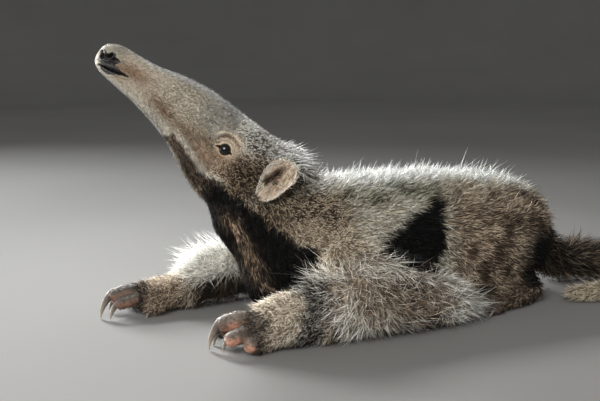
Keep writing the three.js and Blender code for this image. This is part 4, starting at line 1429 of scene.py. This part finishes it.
def size_limbs(put, p, marks):
    x, y, _ = p.points.T
    arm, hand, hind_foot, tail = on_arms(p)[1], p.on("hand"), p.on("hind_foot"), p.on("tail")
    top = smoothstep(0.25, 0.8, p.normals[:, 2])
    put(arm, length=14, width=0.34, lift=36, stray=0.75, clump=0.3)
    crest = np.where(y < 0, smoothstep(-24, -62, x), smoothstep(-90, -120, x))
    put(arm * top * crest, length=23, lift=66, stray=0.5)
    put(arm * smoothstep(-24, 4, x), length=25, lift=22, stray=0.36)
    wrist = np.where(y < 0, smoothstep(-106, -128, x), smoothstep(-166, -184, x))
    put(arm * wrist, length=9, lift=38, width=0.38, stray=0.75)
    put(hand, length=5.5, width=0.44, lift=32, stray=0.65, clump=0.4)
    put(marks["digit"], length=1.8, width=0.3, lift=18, stray=0.4, clump=0.1)
    put(p.on("hind_leg", "shank"), length=8.5, width=0.52, lift=30, stray=0.34, clump=0.7)
    put(hind_foot, length=7, width=0.5, lift=26, stray=0.35, clump=0.3)
    put(hind_foot * marks["digit"], length=3, width=0.4)
    put(tail, length=17, width=0.56, lift=38, stray=0.36, clump=0.6)
    put(tail * smoothstep(0.66, 0.8, p.share), length=10, width=0.46, lift=28, clump=0.8)


def scatter(mesh, places, chosen, lengths, count, random):
    """Random roots on the chosen faces: closer where hair is short, few under the belly and feet."""
    mesh.calc_loop_triangles()
    corners = np.empty(len(mesh.loop_triangles) * 3, np.int32)
    mesh.loop_triangles.foreach_get("vertices", corners)
    corners = corners.reshape(-1, 3)
    corners = corners[chosen[corners].sum(1) >= 2]
    a, b, c = (places.points[corners[:, k]] for k in range(3))
    area = np.linalg.norm(np.cross(b - a, c - a), axis=1)
    down = places.normals[corners[:, 0], 2]
    low = smoothstep(9, 4, a[:, 2]) * smoothstep(-0.75, -0.97, down)
    area *= 1 - 0.93 * low
    area *= np.clip(12 / lengths[corners[:, 0]], 0.6, 3.0) ** 0.8
    picked = random.choice(len(corners), count, p=area / area.sum())
    u, v = random.random((2, count))
    flip = u + v > 1
    u, v = np.where(flip, 1 - u, u), np.where(flip, 1 - v, v)
    w = np.stack([1 - u - v, u, v], 1)
    rows = corners[picked]
    points = (places.points[rows] * w[:, :, None]).sum(1)
    normals = unit((places.normals[rows] * w[:, :, None]).sum(1))
    return points, normals


def tuft_template(rings):
    """Faces of a three-sided tuft with some rings between its root and its tip."""
    last = 3 * rings
    sides = [(last + k, last + (k + 1) % 3, last + 3) for k in range(3)]
    return np.array([(2, 1, 0), *triangles_of(ring_quads(rings + 1, 3)), *sides])


def chart(places, forms):
    """Where points lie on an unwrap of the skin: a strip for each form, along and round it."""
    names = [name for name in NAMES if name.startswith(tuple(forms))]
    u = np.zeros(len(places.points))
    v = np.zeros(len(places.points))
    for strip, name in enumerate(names):
        rows = places.form == NAMES.index(name)
        u[rows] = places.share[rows]
        v[rows] = (strip + 0.02 + 0.96 * places.angle[rows] / 360) / len(names)
    return u, v


def clump_centres(roots, sizes):
    """The middle of the clump that each root belongs to, and the clump's number."""
    drift = np.stack([n(roots, 7.0) for n in NOISES[3:6]], 1)
    cell = np.floor((roots + 1.5 * drift) / sizes[:, None]).astype(int)
    step = np.round(sizes * 4).astype(int)
    _, member = np.unique(np.column_stack([cell, step]), axis=0, return_inverse=True)
    member = member.ravel()
    total = np.bincount(member)
    middle = np.stack([np.bincount(member, roots[:, k]) / total for k in range(3)], 1)
    return middle[member], member


def pick_roots(skin, places, lengths, chosen, count, random):
    """Roots of a piece's hairs, and their markings, clear of the eyes, nostrils, lips and bare digits."""
    roots, normals = scatter(skin.data, places, chosen, lengths, count, random)
    p = Places(roots, normals)
    marks = markings(p)
    keep = (wetness(p.head) < 0.05) & (lid_line(p.head) < 0.05)
    keep &= random.random(count) > 0.86 * smoothstep(0.25, 0.9, marks["digit"])
    keep &= ~((lid_edge(to_eye(p.head)) < 1.6) & (p.head[:, 0] > 30) & (np.abs(p.head[:, 1]) > 12))
    return p.take(keep), {key: value[keep] for key, value in marks.items()}


def comb(p, hair, clumps, middle, field, values, random):
    """Each hair's length, and its bend and tip, where it rests on the skin and the floor."""
    root, normals, count = p.points, p.normals, len(p.points)
    toss = random.normal(0, 1, (clumps.max() + 1, 3))[clumps]
    inwards = without(middle - root, normals)
    length = hair["length"] * random.uniform(0.6, 1.2, count)
    x, _, z = root.T
    on_rump = between(x, 30, 50, 84, 100) * smoothstep(88, 96, z)
    long_one = (random.random(count) < 0.02) & (p.on("head") < 0.5)
    length = np.where(long_one, length * (1.35 + 0.55 * on_rump), length)
    lift = hair["lift"] * random.uniform(0.5, 1.4, count) + np.where(long_one, 12, 0)
    lift = np.radians(np.clip(lift, 4, 84))
    stray = hair["stray"][:, None]
    lie = unit(lie_of(p) + 0.5 * stray * toss + stray * random.normal(0, 0.8, (count, 3)))
    lie = unit(without(lie, normals))
    later = lift * random.uniform(0.15, 0.75, count)
    first, second = (
        unit(lie * np.cos(angle)[:, None] + normals * np.sin(angle)[:, None]) for angle in (lift, later)
    )
    half = (length * 0.5)[:, None]
    clump = hair["clump"][:, None]
    curl = 0.34 * stray * random.normal(0, 1, (count, 3)) * length[:, None]
    bend = root + first * half + inwards * 0.25 * clump
    tip = bend + second * half + inwards * 0.7 * clump + curl
    for end in (bend, tip):
        gap, away = field.sample(values, end)
        end += away * np.clip(CLEARANCE - gap, 0, 8)[:, None]
        end[:, 2] = np.maximum(end[:, 2], FLOOR_CLEARANCE)
    return length, bend, tip


ROOT_DEPTH = 0.5  # of a tuft in the skin
CLEARANCE = 0.8  # of its bend and tip over the skin
FLOOR_CLEARANCE = 0.5  # of its bend and tip over the floor
LEAST_HEIGHT = 0.25  # of any of its points over the floor
FLAT = 0.62  # its thickness as a share of its width
STEPS = {0: [0.0], 1: [0.0, 0.48]}  # of a tuft's rings, as shares of the way to its tip
GIRTHS = {0: [1.0], 1: [0.85, 1.0]}


def tuft_points(root, normals, bend, tip, width, rings):
    """The points of each tuft: rings of three along a bent line from a sunk root, and the tip."""
    sunk = root - normals * ROOT_DEPTH
    points = np.empty((len(root), 3 * (rings + 1) + 1, 3))
    for r, (t, girth) in enumerate(zip(STEPS[rings], GIRTHS[rings])):
        at = sunk * (1 - t) ** 2 + bend * 2 * t * (1 - t) + tip * t * t
        ahead = unit((bend - sunk) * (1 - t) + (tip - bend) * t)
        side = unit(np.cross(ahead, normals))
        above = np.cross(side, ahead)
        for k in range(3):
            turn = math.radians(90 + 120 * k)
            reach = side * math.cos(turn) + above * (FLAT * math.sin(turn))
            points[:, 3 * r + k] = at + reach * (0.58 * width * girth)[:, None]
    points[:, -1] = tip
    points[:, :, 2] = np.maximum(points[:, :, 2], LEAST_HEIGHT)
    return points


def tuft_colours(root, length, clumps, marks, rings, random):
    """Dark at the root, and its own pale or dark shade towards the tip, alike within a clump."""
    count = len(root)
    shared = random.normal(0, 1, clumps.max() + 1)[clumps]
    chance = marks["part"] + 0.2 * NOISES[4](root, 2.4) + np.where(length < 3.5, 0.1, 0.22) * shared
    pale = (random.random(count) < chance)[:, None]
    jitter = random.normal(1, 0.09, (count, 1))
    at_tip = np.where(pale, marks["pale"], mix(marks["dark"], marks["pale"], 0.1)) * jitter
    at_root = mix(marks["dark"] * 0.6, marks["skin"] * 0.7, 0.35) * jitter
    at_root = mix(at_root, at_tip * 0.8, 0.45 * smoothstep(3, 1.6, length))
    at_tip, at_root = np.clip(at_tip, 4, 252), np.clip(at_root, 4, 252)
    turned = np.where(length > 14, 0.45, 0.7)  # the share of the way where the tip's shade is reached
    along = [mix(at_root, at_tip, smoothstep(0.0, turned, t)) for t in STEPS[rings]]
    return np.stack([*np.repeat(along, 3, axis=0), at_tip], 1)


def grow_coat(skin, places, lengths, field, values, name, forms, size, rings, random):
    """One piece of the coat: tapered tufts that lie over the skin and clear it."""
    template = tuft_template(rings)
    count = int(COAT_TRIANGLES * size / len(template))
    chosen = in_piece(places, name, forms)
    p, marks = pick_roots(skin, places, lengths, chosen, count, random)
    hair = hair_of(p, marks)
    # Neighbours share a clump, whose hairs lean together.
    sizes = np.choose(np.digitize(hair["length"], (3.0, 7.0, 12.0)), (1.6, 2.6, 4.0, 5.5))
    middle, clumps = clump_centres(p.points, sizes)
    length, bend, tip = comb(p, hair, clumps, middle, field, values, random)
    width = hair["width"] * random.uniform(0.75, 1.3, len(length))
    points = tuft_points(p.points, p.normals, bend, tip, width, rings)
    colours = tuft_colours(p.points, length, clumps, marks, rings, random)
    return tuft_mesh(name, points, colours, template, *chart(p, forms), STEPS[rings])


PATCH = 0.003  # size of one tuft on the unwrap


def patch_of(template, heights):
    """Where a tuft's faces lie in its patch: its three sides beside each other, from root to tip."""
    tip = len(heights) - 1
    place = [[(0, 0), (1, 0), (0.5, 0.12)]]
    for face in template[1:].tolist():
        lines = {k % 3 for k in face if k != tip}
        side = 2 if lines == {0, 2} else min(lines)
        columns = [side + 0.5 if k == tip else side + (k % 3 != side) for k in face]
        place.append([(column / 3, heights[k]) for column, k in zip(columns, face)])
    return np.array(place)


def tuft_mesh(name, points, colours, template, u, v, steps):
    """All tufts of a piece as one mesh, with its colours and its unwrap."""
    count, size = points.shape[:2]
    mesh = bpy.data.meshes.new(name)
    faces = (template[None] + (np.arange(count) * size)[:, None, None]).reshape(-1)
    mesh.vertices.add(count * size)
    mesh.vertices.foreach_set("co", (points * MM).astype(np.float32).ravel())
    mesh.loops.add(len(faces))
    mesh.loops.foreach_set("vertex_index", faces.astype(np.int32))
    mesh.polygons.add(len(faces) // 3)
    mesh.polygons.foreach_set("loop_start", np.arange(0, len(faces), 3, dtype=np.int32))
    mesh.update(calc_edges=True)
    smooth_shaded(mesh)
    set_attribute(mesh, "tint", "FLOAT_COLOR", rgba(colours.reshape(-1, 3)))

    place = patch_of(template, np.append(np.repeat(steps, 3), 1.0))
    corner = np.stack([u, v], 1)[:, None, None] * 0.995 + 0.001
    uv = corner + place * PATCH
    layer = mesh.uv_layers.new(name="OFBake")
    layer.data.foreach_set("uv", uv.astype(np.float32).ravel())
    mesh.validate()
    return new_object(name, mesh)


# Eyes and claws.
def eyeball(sign):
    """The eye with its clear bulge in front, in the head's frame."""
    mesh = bpy.data.meshes.new("eye")
    bm = bmesh.new()
    bmesh.ops.create_icosphere(bm, subdivisions=5, radius=1.0)
    bm.to_mesh(mesh)
    bm.free()
    points = points_of(mesh) * MM
    facing = points[:, 2]
    bulge = 1 + 0.06 * smoothstep(0.72, 1.0, facing)
    points = points * (EYE["radius"] * bulge)[:, None] @ EYE_AXES + EYE["at"]
    set_points(mesh, from_head(points * (1, sign, 1)))
    if np.linalg.det(EYE_AXES) * sign < 0:
        mesh.flip_normals()
    smooth_shaded(mesh)
    set_attribute(mesh, "front", "FLOAT", facing)
    return new_object("eyeball_left" if sign > 0 else "eyeball_right", mesh)


def claw(name, root, heading, size):
    """A curved, narrow horn with a ridge, tapering to its point."""
    length, radius, turn, dip = size
    sides, steps = 16, 18
    axis = unit(np.cross(heading, (0, 0, -1)))
    dip = math.radians(dip)
    heading = heading * math.cos(dip) + np.cross(axis, heading) * math.sin(dip)
    points, along = [], []
    centre, ahead = root - heading * radius * 1.2, heading.copy()
    angle = np.linspace(0, 2 * math.pi, sides, endpoint=False)
    for i in range(steps):
        share = i / steps
        across = np.cross(ahead, axis)
        width = radius * (1 - share) ** 0.72 * (1.0 - 0.25 * math.exp(-share * 9))
        wide = np.cos(angle) * 0.7 * width
        tall = np.sin(angle) * width * np.where(np.sin(angle) < 0, 1.05, 0.8)
        points.append(centre + np.outer(wide, axis) - np.outer(tall, across))
        along.append(np.full(sides, share))
        turned = math.radians(turn / steps)
        ahead = ahead * math.cos(turned) + np.cross(axis, ahead) * math.sin(turned)
        centre = centre + ahead * (length + radius * 1.2) / steps
    points = np.vstack([*points, root - heading * radius * 1.4, centre])
    faces = facing_out(points, ring_quads(steps, sides) + end_fans(steps, sides))
    points[:, 2] = np.maximum(points[:, 2], 0.3)
    mesh = mesh_of(name, points, faces)
    smooth_shaded(mesh)
    set_attribute(mesh, "along", "FLOAT", np.append(np.concatenate(along), [0, 1]))
    return new_object(name, mesh)


def build_claws():
    made = {}
    sides = (("left", DIGITS_LEFT, mirrored(HIND_FOOT)), ("right", DIGITS_RIGHT, HIND_FOOT))
    for side, digits, hind in sides:
        rows = [(f"claw_{side}_{i + 1}", digits[i], size) for i, size in enumerate(FORE_CLAWS)]
        rows += [(f"hind_claw_{side}_{i + 1}", toe, HIND_CLAW) for i, toe in enumerate(toe_rows(hind))]
        for node, row, size in rows:
            start, end = vec(*row[:3]), vec(*row[3:6])
            heading = unit(end - start)
            if node.startswith("hind"):
                heading = unit(heading * (1, 1, 0))
            made[node] = claw(f"horn_{node}", end + heading * row[6] * 0.6, heading, size)
    return made


# Materials.
class Nodes:
    """A material's nodes, made and linked by name."""

    def __init__(self, name):
        self.material = bpy.data.materials.new(name)
        self.material.use_nodes = True
        self.tree = self.material.node_tree
        self.shader = self.tree.nodes["Principled BSDF"]

    def add(self, kind, inputs=None, **settings):
        node = self.tree.nodes.new(kind)
        for key, value in settings.items():
            setattr(node, key, value)
        for key, value in (inputs or {}).items():
            self.put(node, key, value)
        return node

    def put(self, node, key, value):
        socket = node.inputs[key]
        if isinstance(value, bpy.types.NodeSocket):
            self.tree.links.new(value, socket)
        else:
            socket.default_value = value

    def read(self, name):
        return self.add("ShaderNodeAttribute", attribute_name=name)

    def ramp(self, value, stops):
        node = self.add("ShaderNodeValToRGB", {"Fac": value})
        ramp = node.color_ramp
        while len(ramp.elements) < len(stops):
            ramp.elements.new(0.5)
        for element, (place, colour) in zip(ramp.elements, stops):
            element.position = place
            element.color = (*linear(colour), 1)
        return node.outputs["Color"]

    def noise(self, vector, scale, detail=3.0, rough=0.5):
        inputs = {"Vector": vector, "Scale": scale, "Detail": detail, "Roughness": rough}
        return self.add("ShaderNodeTexNoise", inputs).outputs["Fac"]

    def stretched(self, vector, scale):
        return self.add("ShaderNodeMapping", {"Vector": vector, "Scale": scale}).outputs["Vector"]

    def maths(self, operation, a, b):
        return self.add("ShaderNodeMath", {0: a, 1: b}, operation=operation).outputs[0]

    def span(self, value, low, high, to_low, to_high):
        keys = ("Value", "From Min", "From Max", "To Min", "To Max")
        inputs = dict(zip(keys, (value, low, high, to_low, to_high)))
        return self.add("ShaderNodeMapRange", inputs).outputs[0]

    def tinted(self, colour, factor):
        """A colour made lighter or darker by a factor."""
        share, first, second, result = 0, 6, 7, 2  # sockets of a colour mix
        inputs = {share: 1.0, first: colour, second: factor}
        return self.add("ShaderNodeMix", inputs, data_type="RGBA", blend_type="MULTIPLY").outputs[result]

    def bump(self, height, strength, distance):
        inputs = {"Height": height, "Strength": strength, "Distance": distance}
        return self.add("ShaderNodeBump", inputs).outputs["Normal"]


def skin_material():
    m = Nodes("skin_and_short_hair")
    flow = m.read("flow").outputs["Vector"]
    tint = m.read("tint").outputs["Color"]
    wet = m.read("wet").outputs["Fac"]
    bare = m.read("bare").outputs["Fac"]
    hairs = m.noise(m.stretched(flow, (0.35, 2.6, 1.0)), 1.0, 4.0, 0.6)
    pores = m.noise(flow, 1.7, 5.0, 0.6)
    shade = m.span(hairs, 0.3, 0.7, 0.6, 1.35)
    blotch = m.span(m.noise(flow, 0.16, 3.0), 0.3, 0.7, 0.86, 1.12)
    m.put(m.shader, "Base Color", m.tinted(m.tinted(tint, shade), blotch))
    dry = m.span(pores, 0.3, 0.7, 0.58, 0.82)
    rough = m.maths("SUBTRACT", dry, m.maths("MULTIPLY", wet, 0.5))
    m.put(m.shader, "Roughness", m.maths("SUBTRACT", rough, m.maths("MULTIPLY", bare, 0.12)))
    grain = m.maths("ADD", m.maths("MULTIPLY", hairs, 0.7), m.maths("MULTIPLY", pores, 0.5))
    m.put(m.shader, "Normal", m.bump(grain, 0.7, 0.0006))
    gloss = m.maths("ADD", m.maths("MULTIPLY", wet, 0.35), m.maths("MULTIPLY", bare, 0.3))
    m.put(m.shader, "Specular IOR Level", m.maths("ADD", gloss, 0.1))
    m.shader.inputs["Sheen Weight"].default_value = 0.22
    m.shader.inputs["Sheen Roughness"].default_value = 0.35
    m.shader.inputs["Subsurface Weight"].default_value = 0.08
    m.shader.inputs["Subsurface Radius"].default_value = (0.004, 0.002, 0.001)
    return m.material


def coat_material(name, rough, sheen):
    m = Nodes(name)
    tint = m.read("tint").outputs["Color"]
    place = m.add("ShaderNodeTexCoord").outputs["Object"]
    fine = m.noise(place, 900.0, 2.0)
    m.put(m.shader, "Base Color", m.tinted(tint, m.span(fine, 0.3, 0.7, 0.88, 1.1)))
    m.put(m.shader, "Roughness", m.span(fine, 0.3, 0.7, rough - 0.08, rough + 0.08))
    m.put(m.shader, "Specular IOR Level", m.span(tint, 0.0, 0.12, 0.03, 0.24))
    m.shader.inputs["Sheen Weight"].default_value = sheen
    m.shader.inputs["Sheen Roughness"].default_value = 0.5
    return m.material


def eye_material():
    m = Nodes("wet_eye")
    front = m.read("front").outputs["Fac"]
    place = m.add("ShaderNodeTexCoord").outputs["Object"]
    streaks = m.noise(place, 700.0, 3.0)
    ring = m.ramp(front, [(0.55, (30, 24, 20)), (0.8, (26, 26, 20)), (0.92, (10, 11, 10)), (1.0, (4, 5, 5))])
    m.put(m.shader, "Base Color", m.tinted(ring, m.span(streaks, 0.3, 0.7, 0.7, 1.2)))
    m.put(m.shader, "Roughness", m.span(streaks, 0.3, 0.7, 0.15, 0.21))
    m.shader.inputs["Specular IOR Level"].default_value = 0.4
    return m.material


def horn_material():
    m = Nodes("horn")
    along = m.read("along").outputs["Fac"]
    place = m.add("ShaderNodeTexCoord").outputs["Object"]
    streaks = m.noise(m.stretched(place, (300.0, 900.0, 900.0)), 1.0, 4.0, 0.6)
    stops = [(0.0, (98, 82, 72)), (0.3, (84, 76, 70)), (0.7, (138, 128, 116)), (1.0, (178, 168, 152))]
    m.put(m.shader, "Base Color", m.tinted(m.ramp(along, stops), m.span(streaks, 0.3, 0.7, 0.72, 1.15)))
    m.put(m.shader, "Roughness", m.span(streaks, 0.3, 0.7, 0.3, 0.5))
    m.put(m.shader, "Normal", m.bump(streaks, 0.5, 0.0003))
    return m.material


def floor_material():
    m = Nodes("plain_floor")
    place = m.add("ShaderNodeTexCoord").outputs["Object"]
    soft = m.noise(place, 3.0, 2.0)
    m.put(m.shader, "Base Color", m.ramp(soft, [(0.3, (110, 109, 107)), (0.7, (115, 114, 112))]))
    m.put(m.shader, "Roughness", m.span(soft, 0.3, 0.7, 0.8, 0.9))
    m.shader.inputs["Specular IOR Level"].default_value = 0.04
    return m.material


# The studio.
DAYLIGHT = (0.97, 0.99, 1.0)
RIM_LIGHT = (0.98, 0.99, 1.0)
WARM_LIGHT = (1.0, 0.98, 0.95)


def look(at, towards):
    """A camera's or lamp's matrix: it looks along its own -Z."""
    ahead = unit(np.asarray(towards, float) - np.asarray(at, float))
    right = unit(np.cross(ahead, UP))
    up = np.cross(right, ahead)
    rows = [[right[k], up[k], -ahead[k], at[k]] for k in range(3)]
    return Matrix([*rows, [0, 0, 0, 1]])


def add_camera():
    turn, down = math.radians(CAMERA["turn"]), math.radians(CAMERA["down"])
    ahead = vec(-math.sin(turn) * math.cos(down), math.cos(turn) * math.cos(down), -math.sin(down))
    data = bpy.data.cameras.new("camera")
    data.lens, data.sensor_width = CAMERA["lens"], CAMERA["sensor"]
    data.clip_start, data.clip_end = 0.05, 50
    camera = new_object("camera", data)
    at = vec(*CAMERA["at"]) * MM
    camera.matrix_world = look(at, at + ahead)
    bpy.context.scene.camera = camera


def add_lamp(name, at, size, power, spread, towards, colour=DAYLIGHT):
    data = bpy.data.lights.new(name, "AREA")
    data.shape, data.size, data.size_y = "RECTANGLE", *size
    data.energy, data.color, data.spread = power, colour, math.radians(spread)
    new_object(name, data).matrix_world = look(at, towards)


def add_studio():
    """A pale floor that rises into a soft wall far away all round, and soft lamps."""
    turns = 48
    profile = [(2200, 0), (3000, 0)]
    profile += [(3000 + 1400 * math.sin(a), 1400 - 1400 * math.cos(a)) for a in np.linspace(0.1, 1.3, 12)]
    angles = [2 * math.pi * k / turns for k in range(turns)]
    points = [(reach * math.cos(a), reach * math.sin(a), height) for reach, height in profile for a in angles]
    faces = [quad[::-1] for quad in ring_quads(len(profile), turns)] + [tuple(range(turns))]
    floor = new_object("floor", mesh_of("floor", points, faces))
    smooth_shaded(floor.data)
    floor.data.materials.append(floor_material())
    floor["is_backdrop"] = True
    # Name, place, size, power in watts, spread in degrees and what the lamp points at; all in metres.
    add_lamp("window", (-0.8, 1.7, 0.75), (0.8, 0.6), 18, 70, (-0.1, 0, 0.25))
    add_lamp("low_window", (-1.5, 0.9, 0.12), (0.5, 0.3), 3.4, 60, (-0.2, 0.02, 0.17))
    add_lamp("rim_light", (-0.3, 1.1, 1.1), (0.4, 0.3), 2.4, 45, (-0.18, 0.02, 0.17), RIM_LIGHT)
    add_lamp("front", (-1.35, -1.4, 1.3), (1.2, 0.9), 54, 180, (0, 0, 0.06), WARM_LIGHT)
    world = bpy.data.worlds.new("studio")
    world.use_nodes = True
    world.node_tree.nodes["Background"].inputs["Color"].default_value = (0.64, 0.65, 0.66, 1)
    world.node_tree.nodes["Background"].inputs["Strength"].default_value = 0.5
    bpy.context.scene.world = world
    bpy.context.scene.view_settings.view_transform = "Standard"


FLESH = ["torso", "head", "neck", "tail_base", "tail_bend", "tail_side", "tail_tip"]
for limb in ("ear", "upper_arm", "forearm", "hand", "hind_leg", "hind_foot"):
    FLESH += [f"{limb}_left", f"{limb}_right"]


def dress(piece, material, nodes=()):
    piece.data.materials.append(material)
    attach(piece, "root")
    if nodes:
        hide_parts(*nodes)


add_camera()
add_studio()
skin, field, values = build_skin()
skin_places = dress_skin(skin)
dress(skin, skin_material(), FLESH)

coats = {
    "coat": coat_material("coat_hair", 0.66, 0.04),
    "pale": coat_material("pale_hair", 0.62, 0.08),
    "face": coat_material("face_hair", 0.62, 0.08),
}
lengths = hair_of(skin_places, markings(skin_places))["length"]
for order, (name, forms, size, rings) in enumerate(PIECES):
    random = np.random.default_rng(SEED * 100 + order)
    piece = grow_coat(skin, skin_places, lengths, field, values, name, forms, size, rings, random)
    slot = "face" if name in ("coat_face", "coat_head") else "pale" if "arm" in name else "coat"
    dress(piece, coats[slot])

wet_eye, horn = eye_material(), horn_material()
for sign, side in ((1, "left"), (-1, "right")):
    dress(eyeball(sign), wet_eye, [f"eye_{side}"])
for node, piece in build_claws().items():
    dress(piece, horn, [node])

size = {"cad": [list(v) for v in cad_box], "visual": [list(v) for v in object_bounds()]}
